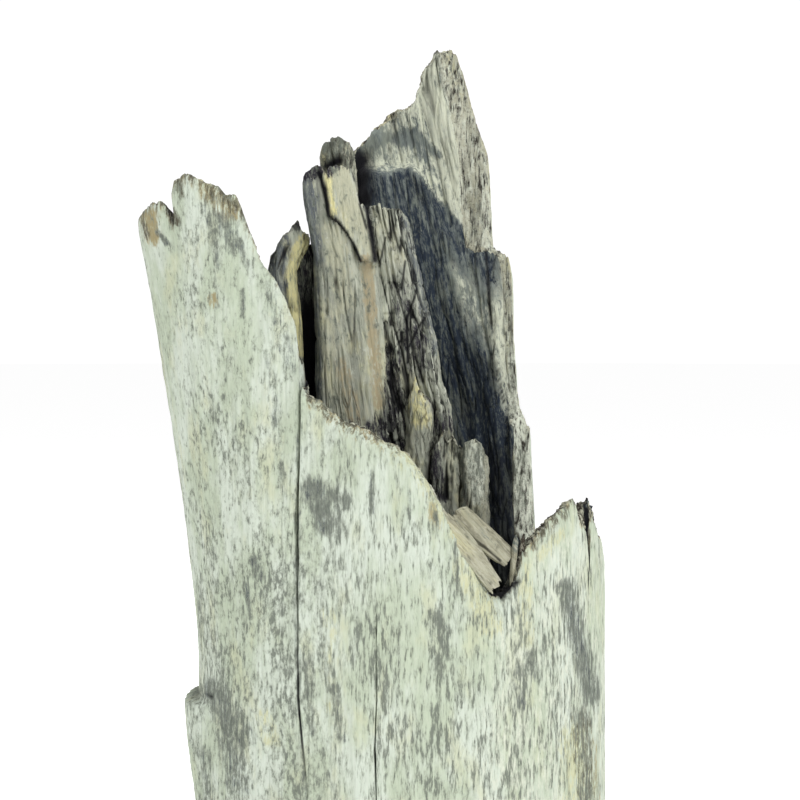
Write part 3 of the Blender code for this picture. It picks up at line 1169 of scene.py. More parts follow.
@dataclass
class Wall:
    """The trunk's wall: its bleached outer face, torn rim, decayed hollow and sawn foot.

    Outlines round the trunk run from the seam to the same place a full turn on. rim gives the
    torn rim's height, tear how ragged it is, chamfer how many degrees the inner rim lags behind
    the outer one, and thinned the share of the wall that is left at the rim. check_line and
    hairline give a crack's angle at each height. fold and ridge_right bound the thick shoulder
    in the back of the hollow: a height at each X, and an X at each height. floor_bend is the
    share of the floor's rings in its rounded corner, and disc_reach how far in its rings come.
    """

    radius: float = 0.2035
    flare: float = 0.056
    flare_foot: float = 0.26
    flare_top: float = 0.68
    wall_at_rim: float = 0.02
    wall_low_down: float = 0.034
    hollow_corner_z: float = 0.25
    hollow_floor_z: float = 0.172
    shoulder: float = 0.0135
    shoulder_angle: float = -92.0
    seam: float = -112.0
    check_angle: float = -28.4
    hairline_angle: float = -6.5
    slit_angle: float = 65.7
    check_half_width: float = 0.0019
    check_depth: float = 0.014
    hairline_half_width: float = 0.0008
    hairline_depth: float = 0.004
    sight: float = 0.905
    fall: float = 0.0025
    prong_foot: float = 0.688
    bevel: float = 0.0065
    outer_step: float = 0.004
    inner_step: float = 0.0045
    rim_bulge: float = 0.0018
    floor_bend: float = 0.4545
    disc_reach: float = 0.985
    rim_rows: int = 14
    floor_rings: int = 14
    foot_rings: int = 8
    rim: Outline = (
        (-112.0, 0.612), (-104.0, 0.655), (-96.0, 0.69), (-90.0, 0.694), (-80.0, 0.699),
        (-74.0, 0.703), (-70.0, 0.709), (-66.5, 0.716), (-64.0, 0.7185), (-62.2, 0.717),
        (-61.5, 0.706), (-61.0, 0.695), (-60.3, 0.694), (-59.9, 0.704), (-59.5, 0.727),
        (-58.8, 0.737), (-57.9, 0.736), (-56.6, 0.7415), (-55.2, 0.7435), (-53.4, 0.738),
        (-51.5, 0.735), (-48.6, 0.729), (-46.6, 0.722), (-44.8, 0.722), (-43.9, 0.714),
        (-42.6, 0.699), (-41.2, 0.681), (-39.4, 0.662), (-37.1, 0.649), (-36.3, 0.645),
        (-35.2, 0.641), (-33.6, 0.628), (-32.2, 0.62), (-31.0, 0.608), (-30.0, 0.598),
        (-29.3, 0.581), (-28.85, 0.566), (-28.75, 0.548), (-27.8, 0.541), (-26.2, 0.532),
        (-22.6, 0.528), (-20.6, 0.52), (-16.2, 0.51), (-13.0, 0.506), (-10.2, 0.503), (-5.0, 0.491),
        (-1.8, 0.487), (1.4, 0.481), (4.0, 0.47), (8.0, 0.451), (11.6, 0.429), (16.0, 0.404),
        (20.2, 0.378), (23.6, 0.353), (25.0, 0.349), (26.4, 0.343), (28.4, 0.34), (30.0, 0.347),
        (31.6, 0.351), (33.6, 0.361), (34.4, 0.374), (35.4, 0.384), (38.0, 0.391), (40.0, 0.398),
        (41.5, 0.402), (43.7, 0.406), (46.0, 0.414), (48.3, 0.418), (50.8, 0.421), (54.0, 0.426),
        (56.2, 0.431), (57.6, 0.429), (59.2, 0.417), (62.0, 0.406), (64.2, 0.398), (65.0, 0.38),
        (65.7, 0.358), (66.1, 0.384), (66.5, 0.406), (67.2, 0.417), (67.9, 0.416), (69.0, 0.409),
        (72.4, 0.401), (76.0, 0.388), (80.0, 0.384), (88.0, 0.364), (104.0, 0.352), (120.0, 0.35),
        (134.2, 0.372), (135.0, 0.388), (135.8, 0.44), (136.6, 0.483), (137.8, 0.486),
        (141.6, 0.511), (142.4, 0.528), (143.0, 0.548), (143.6, 0.572), (144.0, 0.6),
        (144.3, 0.635), (144.9, 0.65), (145.6, 0.662), (148.6, 0.668), (151.0, 0.672),
        (151.6, 0.69), (152.0, 0.712), (152.4, 0.742), (153.0, 0.77), (155.0, 0.789),
        (158.0, 0.823), (161.0, 0.856), (162.8, 0.873), (164.6, 0.881), (167.0, 0.88),
        (168.6, 0.87), (171.0, 0.863), (172.6, 0.853), (173.6, 0.84), (175.0, 0.825),
        (178.5, 0.817), (182.9, 0.811), (185.4, 0.803), (188.0, 0.794), (191.0, 0.781),
        (193.0, 0.776), (198.0, 0.748), (202.0, 0.712), (207.0, 0.66), (212.0, 0.628),
        (220.0, 0.612), (228.0, 0.59), (237.0, 0.58), (248.0, 0.612),
    )
    tear: Outline = (
        (-112.0, 0.004), (-90.0, 0.0035), (-60.0, 0.003), (-45.0, 0.0026), (-30.0, 0.0016),
        (-27.0, 0.002), (20.0, 0.0018), (25.0, 0.004), (31.0, 0.005), (38.0, 0.0036),
        (58.0, 0.0032), (68.0, 0.003), (80.0, 0.0045), (130.0, 0.004), (160.0, 0.0028),
        (200.0, 0.004), (248.0, 0.004),
    )
    chamfer: Outline = (
        (-112.0, 0.0), (60.0, 0.0), (125.0, 2.0), (136.0, 3.0), (143.0, 2.5), (150.0, 3.0),
        (152.0, 4.0), (155.0, 7.0), (161.0, 8.5), (166.0, 6.0), (170.0, 1.5), (176.0, 0.0),
        (248.0, 0.0),
    )
    thinned: Outline = (
        (-112.0, 1.0), (40.0, 1.0), (61.0, 0.65), (65.0, 0.25), (69.0, 0.25), (78.0, 1.0),
        (140.0, 1.0), (142.0, 0.45), (150.5, 0.45), (153.0, 1.0), (248.0, 1.0),
    )
    check_line: Outline = (
        (0.12, -25.0), (0.161, -26.1), (0.208, -27.5), (0.246, -28.7), (0.3, -28.8), (0.378, -29.2),
        (0.435, -29.0), (0.49, -28.3), (0.538, -28.3), (0.7, -28.2),
    )
    fold: Outline = (
        (-0.045, 0.752), (-0.036, 0.754), (-0.013, 0.752), (0.01, 0.757), (0.02, 0.751),
        (0.04, 0.7237), (0.0624, 0.7014), (0.0814, 0.6824), (0.12, 0.655),
    )
    ridge_right: Outline = (
        (0.5, 0.1), (0.6, 0.082), (0.66, 0.066), (0.72, 0.046), (0.76, 0.024),
    )
    hairline: Outline = (
        (0.1, -6.3), (0.16, -6.5), (0.2, -6.9), (0.25, -6.4), (0.31, -6.5), (0.36, -6.0),
    )

    def outer_radius(self, angle: Floats, height: Floats) -> Floats:
        """The outer face's radius before cracks and grain.

        Args:
            angle: degrees round the trunk.
            height: metres up it.

        Returns:
            The radius in metres.
        """
        turn = np.radians(angle)
        left = signed(angle)
        share = smooth(-28.0, -75.0, left) * smooth(-172.0, -120.0, left)
        rise = np.maximum(0.0, (height - self.flare_foot) / (self.flare_top - self.flare_foot))
        lobes = 0.0035 * np.cos(2.0 * turn + math.pi) * np.cos(turn) + 0.002 * np.sin(5.0 * turn)
        around = smooth(30.0, 16.0, np.abs(left - self.shoulder_angle))
        lip = smooth(0.23, 0.224, height) * smooth(0.08, 0.222, height)
        return self.radius + lobes + self.flare * share * rise**1.4 + self.shoulder * around * lip

    def thickness(self, height: Floats) -> Floats:
        """The wall's thickness: less of it has decayed low down."""
        share = smooth(0.25, 0.6, height)
        return self.wall_low_down + (self.wall_at_rim - self.wall_low_down) * share

    def columns(self) -> Floats:
        """The angles of the fibres, close together at the cracks and wider at the back.

        Returns:
            The angles in degrees, rising from the seam.
        """
        fine = np.arange(self.seam, self.seam + 360.0, 0.01)
        step = 0.32 + 0.16 * smooth(78.0, 100.0, fine) * smooth(250.0, 236.0, fine)
        step -= 0.18 * smooth(34.0, 20.0, np.abs(fine - 152.0))
        step -= 0.1 * smooth(36.0, 24.0, np.abs(fine - 190.0))
        step -= 0.08 * smooth(20.0, 14.0, np.abs(fine - 48.0))
        for place, least, near, far in (
            (self.check_angle, 0.085, 0.9, 2.6), (self.hairline_angle, 0.1, 0.4, 1.8),
            (self.slit_angle, 0.12, 0.6, 2.0),
        ):
            step = np.minimum(step, least + 0.3 * smooth(near, far, np.abs(fine - place)))
        passed = np.cumsum(0.01 / step)
        count = int(passed[-1])
        return np.interp(np.arange(count) * passed[-1] / count, passed, fine)

    def rims(self, angle: Floats, noise: Noise) -> tuple[Floats, Floats]:
        """The torn rim at the outer and at the inner face.

        Args:
            angle: the fibres' angles.
            noise: the noise that tears it.

        Returns:
            The two heights of every fibre.
        """
        turn = np.radians(angle)
        ring = np.stack([np.cos(turn), np.sin(turn), np.zeros_like(turn)], axis=1) * self.radius
        tear = along(self.tear, angle)
        outer = along(self.rim, angle)
        shreds = 0.45 * noise.at(ring / 0.0016 + 5.0)
        outer += tear * (0.9 * noise.layered(ring / 0.009, 3, 0.65) + shreds)
        left = signed(angle)
        lined = np.degrees(np.arcsin(self.sight * np.sin(turn)))
        front = smooth(-60.5, -55.0, left) * smooth(82.0, 74.0, left)
        start = (angle - along(self.chamfer, angle)) * (1.0 - front) + lined * front
        inner = along(self.rim, start)
        shifted = ring + np.array([0.0, 0.0, 0.03])
        inner += tear * (noise.layered(shifted / 0.011, 3, 0.65) + 0.6 * noise.at(shifted / 0.0018))
        inner -= self.fall * smooth(-125.0, -110.0, left) * smooth(90.0, 78.0, left)
        prong = smooth(7.0, 5.0, np.abs(left + 66.0))
        return outer, inner - prong * np.maximum(inner - self.prong_foot, 0.0)

    def cracked(self, angle: Floats, height: Floats, radius: Floats) -> tuple[Floats, Floats]:
        """Opens the long drying crack and the hairline in the outer face.

        Args:
            angle: the vertices' fibre angles.
            height: their heights.
            radius: their radii.

        Returns:
            The vertices' angles, bent along the cracks, and their radii.
        """
        offset = angle - self.check_angle
        moved = along(self.check_line, height) - self.check_angle
        bent = angle + moved * smooth(7.0, 1.5, np.abs(offset))
        half = self.check_half_width * (0.15 + 0.85 * smooth(0.165, 0.4, height))
        shape = np.clip(1.0 - (np.radians(np.abs(offset)) * self.radius / half) ** 2, 0.0, 1.0)
        radius = radius - self.check_depth * smooth(0.14, 0.25, height) * np.sqrt(shape)
        offset = angle - self.hairline_angle
        moved = along(self.hairline, height) - self.hairline_angle
        bent = bent + moved * smooth(5.0, 1.0, np.abs(offset))
        half = self.hairline_half_width
        shape = np.clip(1.0 - (np.radians(np.abs(offset)) * self.radius / half) ** 2, 0.0, 1.0)
        return bent, radius - self.hairline_depth * smooth(0.345, 0.29, height) * np.sqrt(shape)

    def build(self, finishes: tuple[bpy.types.Material, ...]) -> bpy.types.Object:
        """Makes the wall as one closed mesh.

        Args:
            finishes: the materials of the outer face, the torn rim, the hollow and the foot.

        Returns:
            The object.
        """
        noise = Noise(11)
        angle = self.columns()
        share = np.append((angle - self.seam) / 360.0, 1.0) * 0.998 + 0.001
        rim_outer, rim_inner = self.rims(angle, noise)
        skin = Skin()
        parts: list[tuple[Region, Floats, Floats, Floats]] = []

        rows, height = climb(rim_outer, 0.0, self.outer_step)
        spread = np.repeat(angle, rows + 1)
        below = np.repeat(rim_outer, rows + 1) - height
        bent, radius = self.cracked(spread, height, self.outer_radius(spread, height))
        low = smooth(-27.0, -24.0, signed(spread)) * smooth(29.0, 25.0, signed(spread))
        radius = radius - 0.003 * np.exp(-below / 0.004) - self.bevel * low * np.exp(-below / 0.006)
        outer = climb_index(rows, skin.add(self._places(bent, radius, height)))
        parts.append((Region.OUTER, spread, height, below))
        skin.sheet(outer, 0, share, 0.002 + height[outer] * 0.68)

        first = skin.count
        rows, height = climb(rim_inner, self.hollow_corner_z, self.inner_step)
        spread = np.repeat(angle, rows + 1)
        below = np.repeat(rim_inner, rows + 1) - height
        feather = along(self.thinned, spread)
        feather = feather + (1.0 - feather) * smooth(0.0, 0.05, below)
        radius = self.outer_radius(spread, height) - self.thickness(height) * feather
        radius = radius + 0.003 * feather * np.exp(-below / 0.005)
        inner = climb_index(rows, skin.add(self._places(spread, radius, height)))
        parts.append((Region.HOLLOW, spread, height, below))
        up = 0.665 + (height[inner - first] - self.hollow_corner_z) * 0.36
        skin.sheet(inner, 2, share, up, flip=True)

        points = np.concatenate(skin.points)
        bridge = [outer[-1]]
        for row in range(1, self.rim_rows):
            part = row / self.rim_rows
            between = points[outer[-1, :-1]] * (1.0 - part) + points[inner[-1, :-1]] * part
            between[:, 2] += self.rim_bulge * math.sin(math.pi * part)
            bridge.append(closed(skin.add(between) + np.arange(len(angle))))
            parts.append((Region.RIM, angle, between[:, 2], np.full(len(angle), part)))
        bridge.append(inner[-1])
        levels = 0.61 + 0.048 * np.linspace(0.0, 1.0, self.rim_rows + 1)[:, None]
        skin.sheet(np.array(bridge), 1, share, levels + 0.0 * share)

        drop = self.hollow_corner_z - self.hollow_floor_z
        reach = np.linalg.norm(points[inner[0, :-1]][:, :2], axis=1)
        floor = [inner[0]]
        for ring in range(1, self.floor_rings + 1):
            part = ring / self.floor_rings
            bend = min(1.0, part * 2.2) * math.pi / 2.0
            flat = max(0.0, part - self.floor_bend) / (1.0 - self.floor_bend)
            inwards = 1.0 - self.disc_reach * flat
            narrow = (reach - drop * (1.0 - math.cos(bend))) * inwards
            level = np.full(len(angle), self.hollow_corner_z - drop * math.sin(bend))
            floor.append(self._ring(skin, angle, narrow, level))
            parts.append((Region.FLOOR, angle, level, np.full(len(angle), part)))
        foot = [outer[0]]
        reach = np.linalg.norm(points[outer[0, :-1]][:, :2], axis=1)
        for ring in range(1, self.foot_rings + 1):
            part = ring / self.foot_rings
            level = np.zeros(len(angle))
            narrow = reach * (1.0 - self.disc_reach * part)
            foot.append(self._ring(skin, angle, narrow, level))
            parts.append((Region.FOOT, angle, level, np.full(len(angle), part)))
        points = np.concatenate(skin.points)
        self._disc(skin, np.array(floor), points, 2, 0.95, False)
        self._disc(skin, np.array(foot), points, 3, 0.84, True)

        made = skin.object("trunk_wall", finishes)
        region = np.concatenate([np.full(len(part[1]), part[0].value) for part in parts])
        spread, height, below = (np.concatenate([part[i] for part in parts]) for i in (1, 2, 3))
        relief = self._weather(made, region, spread, noise)
        self._paint(made, region, spread, height, below, relief, noise)
        return made

    def _places(self, angle: Floats, radius: Floats, height: Floats) -> Floats:
        """Points at some angles, radii and heights."""
        turn = np.radians(angle)
        return np.stack([radius * np.sin(turn), -radius * np.cos(turn), height], axis=1)

    def _ring(self, skin: Skin, angle: Floats, radius: Floats, height: Floats) -> Floats:
        """Adds a closed ring of vertices to the mesh.

        Args:
            skin: the mesh being gathered.
            angle: the fibres' angles.
            radius: the radius at each of them.
            height: the height at each of them.

        Returns:
            The ring's vertex numbers, the first one again at the end.
        """
        return closed(skin.add(self._places(angle, radius, height)) + np.arange(len(angle)))

    def _disc(
        self, skin: Skin, rings: Floats, points: Floats, slot: int, centre: float, flip: bool
    ) -> None:
        """Adds the floor or the foot, and closes the small ring in its middle.

        Args:
            skin: the mesh being gathered.
            rings: the rings' vertex numbers from the outside in.
            points: the vertices so far.
            slot: the faces' material slot.
            centre: the disc's middle across the bake map.
            flip: turns the faces the other way.
        """
        across = centre + points[:, 0] * 0.21
        up = 0.948 + points[:, 1] * 0.21
        grid = np.stack([rings, across[rings], up[rings]], axis=-1)
        corners = np.stack([grid[:-1, :-1], grid[:-1, 1:], grid[1:, 1:], grid[1:, :-1]], axis=2)
        for quad in corners.reshape(-1, 4, 3).tolist():
            skin.face(quad[::-1] if flip else quad, slot)
        middle = grid[-1, :-1].tolist()
        skin.face(middle[::-1] if flip else middle, slot)

    def _weather(
        self, made: bpy.types.Object, region: Floats, angle: Floats, noise: Noise
    ) -> Floats:
        """Gives the faces their ridges, grooves and crumbled breaks.

        Args:
            made: the wall.
            region: what each vertex belongs to.
            angle: each vertex's angle.
            noise: the noise that shapes them.

        Returns:
            How far each vertex was moved outwards.
        """
        points = coordinates(made)
        outer = carved(OUTER_RELIEF, noise, points) - 0.0035 * self._checks(points, noise)
        sheared = points.copy()
        sheared[:, 0] += 0.2 * points[:, 2]
        inner = carved(HOLLOW_RELIEF, noise, sheared) + self._ridge(points, noise)
        crumbled = 1.0 + 0.2 * smooth(33.0, 37.0, angle) * smooth(70.0, 64.0, angle)
        crumbled -= 0.5 * smooth(6.0, 12.0, angle) * smooth(30.0, 26.0, angle)
        torn = carved(TORN_RELIEF, noise, points) * crumbled
        floor = 0.006 * noise.layered(points / 0.03 + 71.0, 4, 0.6)
        order = (Region.OUTER, Region.RIM, Region.HOLLOW, Region.FLOOR)
        chosen = [region == part.value for part in order]
        amount = np.select(chosen, [outer, torn, inner, floor], 0.0)
        amount[points[:, 2] < 0.003] = 0.0
        swell(made, amount)
        return amount

    def _checks(self, points: Floats, noise: Noise) -> Floats:
        """The drying cracks in the back of the outer face.

        Args:
            points: the wall's vertices.
            noise: the noise that lays the cracks.

        Returns:
            How deep each vertex lies in a crack, from 0 to 1.
        """
        lines = noise.cracks(fibres(points, 0.04, 0.55) + 63.0, 0.022)
        shown = smooth(-0.1, 0.15, noise.at(points / 0.12 + 66.0))
        return lines * shown * smooth(0.02, 0.07, points[:, 1]) * smooth(0.03, 0.1, points[:, 2])

    def _ridge(self, points: Floats, noise: Noise) -> Floats:
        """The thick shoulder of sound wood that leans down the back of the hollow.

        Args:
            points: the wall's vertices.
            noise: the noise that frays its edges.

        Returns:
            How far it makes each vertex stand out.
        """
        fray = 0.004 * noise.at(points / 0.015 + 95.0)
        place, height = points[:, 0] + fray, points[:, 2] + fray
        top = along(self.fold, place)
        right = np.interp(height, *np.array(self.ridge_right).T)
        body = smooth(0.008, -0.004, height - top) * smooth(0.006, -0.012, place - right)
        body = 0.018 * body * smooth(-0.043, -0.037, place) * smooth(0.5, 0.62, height)
        return body * (points[:, 1] > 0.05)

    def _paint(
        self, made: bpy.types.Object, region: Floats, angle: Floats, height: Floats, below: Floats,
        relief: Floats, noise: Noise,
    ) -> None:
        """Lays stains, warm tints and decay on the wall.

        Args:
            made: the wall.
            region: what each vertex belongs to.
            angle: each vertex's angle.
            height: each vertex's height.
            below: how far each vertex lies under the rim, or across it.
            relief: how far each vertex was moved outwards.
            noise: the noise that varies them.
        """
        points = coordinates(made)
        ragged = noise.layered(fibres(points, 0.006, 0.016) + 77.0, 3, 0.6)
        drift = noise.layered(fibres(points, 0.05, 0.14) + 81.0, 3)
        spots = Spots(points, region, angle, signed(angle), height, below, relief, ragged, drift)
        masks = bare(len(points))
        lay_strokes(
            masks, OUTER_STROKES, points, ragged,
            spots.of(Region.OUTER, Region.RIM) & (points[:, 1] < 0.03),
        )
        lay_strokes(
            masks, HOLLOW_STROKES, points, ragged,
            spots.of(Region.HOLLOW, Region.FLOOR, Region.FOOT) & (points[:, 1] > -0.05),
        )
        self._paint_fold_light_and_shade(masks, spots)
        self._paint_outside(masks, spots, noise)
        self._paint_edge(masks, spots)
        self._paint_rim(masks, spots, noise)
        self._paint_inside(masks, spots)
        self._paint_cracks(masks, spots)
        paint(made, masks)

    def _paint_fold_light_and_shade(self, masks: Masks, spots: Spots) -> None:
        """Paints shade on the thick shoulder in the hollow under its edge, and a painted highlight
        on the wood over its edge.

        Args:
            masks: the wall's masks.
            spots: the wall's vertices.
        """
        place, depth = spots.points[:, 0], spots.points[:, 1]
        under = along(self.fold, place) - spots.height + 0.003 * spots.ragged
        inside = spots.of(Region.HOLLOW, Region.FLOOR, Region.FOOT)
        folded = inside * (depth > 0.05) * smooth(-0.043, -0.037, place)
        folded = folded * smooth(0.125, 0.09, place)
        # dark is painted shade under the fold's edge and light a painted highlight over it; the
        # pale under the edge is taken back for the shade.
        dark = 0.62 * folded * smooth(0.0, 0.004, under) * smooth(0.075, 0.02, under)
        light = 0.68 * folded * smooth(0.001, -0.003, under) * smooth(-0.03, -0.004, under)
        masks[Paint.PALE] *= (
            1.0 - 0.7 * folded * smooth(0.0, 0.004, under) * smooth(0.07, 0.03, under)
        )
        cover(masks, Paint.DECAY, dark)
        cover(masks, Paint.PALE, light)

    def _paint_outside(self, masks: Masks, spots: Spots, noise: Noise) -> None:
        """Scatters speckles over the wall, stains the back of the outer face, and paints shade
        black into the back's drying cracks.

        Args:
            masks: the wall's masks.
            spots: the wall's vertices.
            noise: the noise that lays the cracks of the back.
        """
        left, drift, outer = spots.left, spots.drift, spots.of(Region.OUTER)
        low = smooth(0.62, 0.3, spots.height)
        right = smooth(20.0, 36.0, left)
        flecks = 0.39 + 0.5 * drift + 0.3 * low - 0.06 * right + 0.7 * outer * masks[Paint.STAIN]
        masks[Paint.FLECKS] = flecks + 0.14 * smooth(-26.0, -34.0, left) * outer
        masks[Paint.RUN] = np.where(outer, 0.15 + 0.85 * smooth(-34.0, -4.0, left), 0.7)
        behind = outer & (spots.points[:, 1] >= 0.03)
        # Black painted shade in the carved drying cracks of the back.
        cover(masks, Paint.CREVICE, 0.9 * behind * self._checks(spots.points, noise))
        masks[Paint.STAIN] += behind * 0.6 * smooth(0.25, 0.7, drift + 0.5 * spots.ragged)

    def _paint_edge(self, masks: Masks, spots: Spots) -> None:
        """Browns the outer face along its torn edge, and bleaches its right side.

        Args:
            masks: the wall's masks.
            spots: the wall's vertices.
        """
        left, ragged, outer = spots.left, spots.ragged, spots.of(Region.OUTER)
        edge, wide = (
            np.where(outer, np.exp(-np.maximum(spots.below, 0.0) / reach), 0.0)
            for reach in (0.0058, 0.009)
        )
        plank = smooth(-40.0, -44.0, left) + smooth(32.0, 35.0, left) * smooth(80.0, 60.0, left)
        broken = smooth(-27.5, -26.0, left) * smooth(6.0, -10.0, left)
        edge_share = np.clip(0.15 + 0.7 * plank + 0.85 * broken, 0.0, 1.0)
        cover(masks, Paint.DECAY, edge_share * edge * smooth(-0.4, 0.2, ragged))
        lip_edge = wide * smooth(36.0, 41.0, left) * smooth(61.0, 57.0, left)
        cover(masks, Paint.DECAY, lip_edge * smooth(-0.3, 0.3, ragged))
        bright = smooth(10.0, 34.0, left) * smooth(110.0, 80.0, left) * outer
        masks[Paint.PALE] += bright * (0.3 + 0.25 * spots.drift)
        cover(masks, Paint.WARM, wide * (0.25 + 0.4 * broken + 0.3 * plank))
        sloped = smooth(-8.0, 2.0, left) * smooth(29.0, 25.0, left)
        cover(masks, Paint.YELLOW, 0.6 * sloped * np.sqrt(wide))

    def _paint_rim(self, masks: Masks, spots: Spots, noise: Noise) -> None:
        """Paints the break itself: decayed, black in one notch, black painted shade in the slit, on
        the torn side by the long crack and along the front's inner edge, and pale where it is
        fresh.

        Args:
            masks: the wall's masks.
            spots: the wall's vertices.
            noise: the noise that breaks up the decay.
        """
        left, below, rim = spots.left, spots.below, spots.of(Region.RIM)
        patches = noise.layered(spots.points / 0.006 + 91.0, 3, 0.65)
        share = np.interp(
            left, (-90.0, -30.0, -24.0, -4.0, 6.0, 24.0, 30.0, 66.0, 90.0),
            (0.8, 0.8, 1.0, 0.8, 0.25, 0.3, 1.0, 1.0, 0.5),
        )
        cover(masks, Paint.DECAY, rim * smooth(-0.35, 0.2, patches) * share)
        # Black in the notch by 28.5 degrees; the notches below are painted shade in the slit, on
        # the torn side face by the long crack and along the inner edge of the front rim.
        black_notch_and_shade = smooth(4.5, 2.5, np.abs(left - 28.5)) * smooth(-0.4, 0.2, spots.ragged + 0.2)
        for notch in (
            smooth(1.8, 0.9, np.abs(left - self.slit_angle)),
            smooth(5.0, 3.6, np.abs(left + 32.5)) * smooth(0.536, 0.55, spots.height),
            smooth(0.8, 1.0, below) * smooth(-30.0, -26.0, left) * smooth(34.0, 26.0, left),
        ):
            black_notch_and_shade = np.maximum(black_notch_and_shade, notch)
        cover(masks, Paint.CREVICE, rim * black_notch_and_shade)
        fresh = rim * (1.0 - black_notch_and_shade) * 0.5
        masks[Paint.PALE] += fresh * smooth(2.0, 8.0, left) * smooth(30.0, 26.0, left)
        for place, far, near, amount in (
            (138.5, 7.0, 3.0, 1.0), (160.0, 11.0, 5.0, 0.45), (147.0, 8.0, 4.0, 0.55),
        ):
            masks[Paint.PALE] += rim * amount * smooth(far, near, np.abs(spots.angle - place))

    def _paint_inside(self, masks: Masks, spots: Spots) -> None:
        """Darkens the hollow downwards with decay and painted shade, and paints black shade into
        its depths and its grooves.

        Args:
            masks: the wall's masks.
            spots: the wall's vertices.
        """
        inside = spots.of(Region.HOLLOW, Region.FLOOR, Region.FOOT)
        # shade darkens the hollow downwards, decay and painted shade together; deep and the grooves
        # get black painted shade.
        shade = smooth(0.6, 0.44, spots.height + 0.25 * (spots.points[:, 0] - 0.03))
        decay = masks[Paint.DECAY] + 0.62 * shade + 0.25 * spots.drift * shade
        masks[Paint.DECAY] = np.where(inside, np.clip(decay, 0.0, 1.0), masks[Paint.DECAY])
        deep = 0.75 * smooth(0.45, 0.3, spots.height)
        cover(masks, Paint.CREVICE, inside * (deep + 0.55 * smooth(-0.0012, -0.0045, spots.relief)))

    def _paint_cracks(self, masks: Masks, spots: Spots) -> None:
        """Paints shade black into the long crack, the hairline and the slit, and a painted shadow
        under the shoulder's lip.

        Args:
            masks: the wall's masks.
            spots: the wall's vertices.
        """
        height, outer = spots.height, spots.of(Region.OUTER)
        check, hair, slit = (
            np.radians(np.abs(spots.angle - place)) * self.radius
            for place in (self.check_angle, self.hairline_angle, self.slit_angle)
        )
        # The open crack, the hairline and the slit are painted black as the shade in them.
        open_check = smooth(0.0019, 0.0007, check) * smooth(0.15, 0.22, height) * outer
        cover(masks, Paint.CREVICE, open_check)
        thin = 0.9 * smooth(0.0009, 0.0003, hair) * smooth(0.345, 0.29, height) * outer
        cover(masks, Paint.CREVICE, thin)
        grey = 0.35 * smooth(0.006, 0.002, check)
        cover(masks, Paint.STAIN, grey * smooth(-0.3, 0.3, spots.drift + spots.ragged) * outer)
        open_slit = outer * smooth(0.0028, 0.0008, slit) * smooth(0.33, 0.35, height)
        cover(masks, Paint.CREVICE, open_slit)
        # Painted shadow under the shoulder's lip.
        lip = smooth(0.238, 0.233, height) * smooth(0.226, 0.229, height)
        around = smooth(24.0, 14.0, np.abs(spots.left - self.shoulder_angle))
        cover(masks, Paint.CREVICE, 0.7 * lip * around * outer)


# --------------------------------------------------------------------------- the heartwood

HEART_STROKES = (
    *streaks(
        Paint.STAIN, (-0.09, 0.738, -0.083, 0.662, 0.008, 0.9),
        (-0.082, 0.64, -0.078, 0.52, 0.005, 0.6), (0.005, 0.7, 0.032, 0.57, 0.0045, 0.6),
    ),
    *streaks(
        Paint.DECAY, (-0.092, 0.746, -0.074, 0.748, 0.0095, 1.0),
        (0.001, 0.63, 0.02, 0.56, 0.013, 0.55), (-0.008, 0.57, -0.005, 0.5, 0.009, 0.7),
        (-0.02, 0.5, 0.045, 0.5, 0.012, 0.75), (-0.035, 0.47, 0.048, 0.44, 0.03, 0.95),
        (-0.042, 0.5, -0.03, 0.48, 0.008, 0.6),
    ),
    *streaks(
        Paint.PALE, (-0.062, 0.692, -0.054, 0.62, 0.011, 0.7),
        (-0.069, 0.61, -0.06, 0.51, 0.013, 0.5), (-0.057, 0.742, -0.038, 0.69, 0.0095, 0.95),
        (-0.04, 0.69, -0.029, 0.668, 0.006, 0.7), (-0.021, 0.705, -0.001, 0.665, 0.011, 0.55),
    ),
    *streaks(Paint.YELLOW, (-0.0705, 0.744, -0.064, 0.706, 0.0035, 1.0)),
    *streaks(
        Paint.WARM, (-0.033, 0.66, -0.02, 0.52, 0.0055, 0.9),
        (-0.056, 0.56, -0.042, 0.5, 0.007, 0.5),
    ),
    # The first five paint shade black under the ledge of the cream upper part, and the seventh in
    # the cleft; the others are thin dark cracks.
    *streaks(
        Paint.CREVICE, (-0.0775, 0.744, -0.0725, 0.728, 0.003, 1.0),
        (-0.0725, 0.728, -0.068, 0.703, 0.0024, 1.0), (-0.068, 0.703, -0.0594, 0.698, 0.002, 1.0),
        (-0.0594, 0.698, -0.0451, 0.677, 0.0015, 1.0), (-0.0451, 0.677, -0.038, 0.66, 0.0017, 1.0),
        (-0.039, 0.714, -0.032, 0.69, 0.0012, 0.9), (-0.0325, 0.714, -0.024, 0.66, 0.0028, 1.0),
        (0.0165, 0.631, 0.0064, 0.603, 0.0015, 1.0), (0.0064, 0.603, 0.0077, 0.56, 0.0018, 1.0),
        (0.0268, 0.608, 0.0165, 0.592, 0.0013, 1.0), (0.0165, 0.592, 0.009, 0.576, 0.0013, 1.0),
        (0.005, 0.659, 0.0013, 0.631, 0.0011, 0.9), (-0.014, 0.682, -0.02, 0.655, 0.0011, 0.9),
    ),
)
STRIP_STROKES = (
    *streaks(Paint.STAIN, (-0.12, 0.68, -0.12, 0.6, 0.012, 0.7)),
    *streaks(
        Paint.YELLOW, (-0.093, 0.678, -0.098, 0.668, 0.007, 1.0),
        (-0.1, 0.664, -0.107, 0.645, 0.0065, 1.0), (-0.107, 0.645, -0.102, 0.6, 0.0065, 1.0),
        (-0.101, 0.6, -0.099, 0.57, 0.005, 0.9),
    ),
    *streaks(Paint.DECAY, (-0.106, 0.693, -0.096, 0.695, 0.005, 0.9)),
)
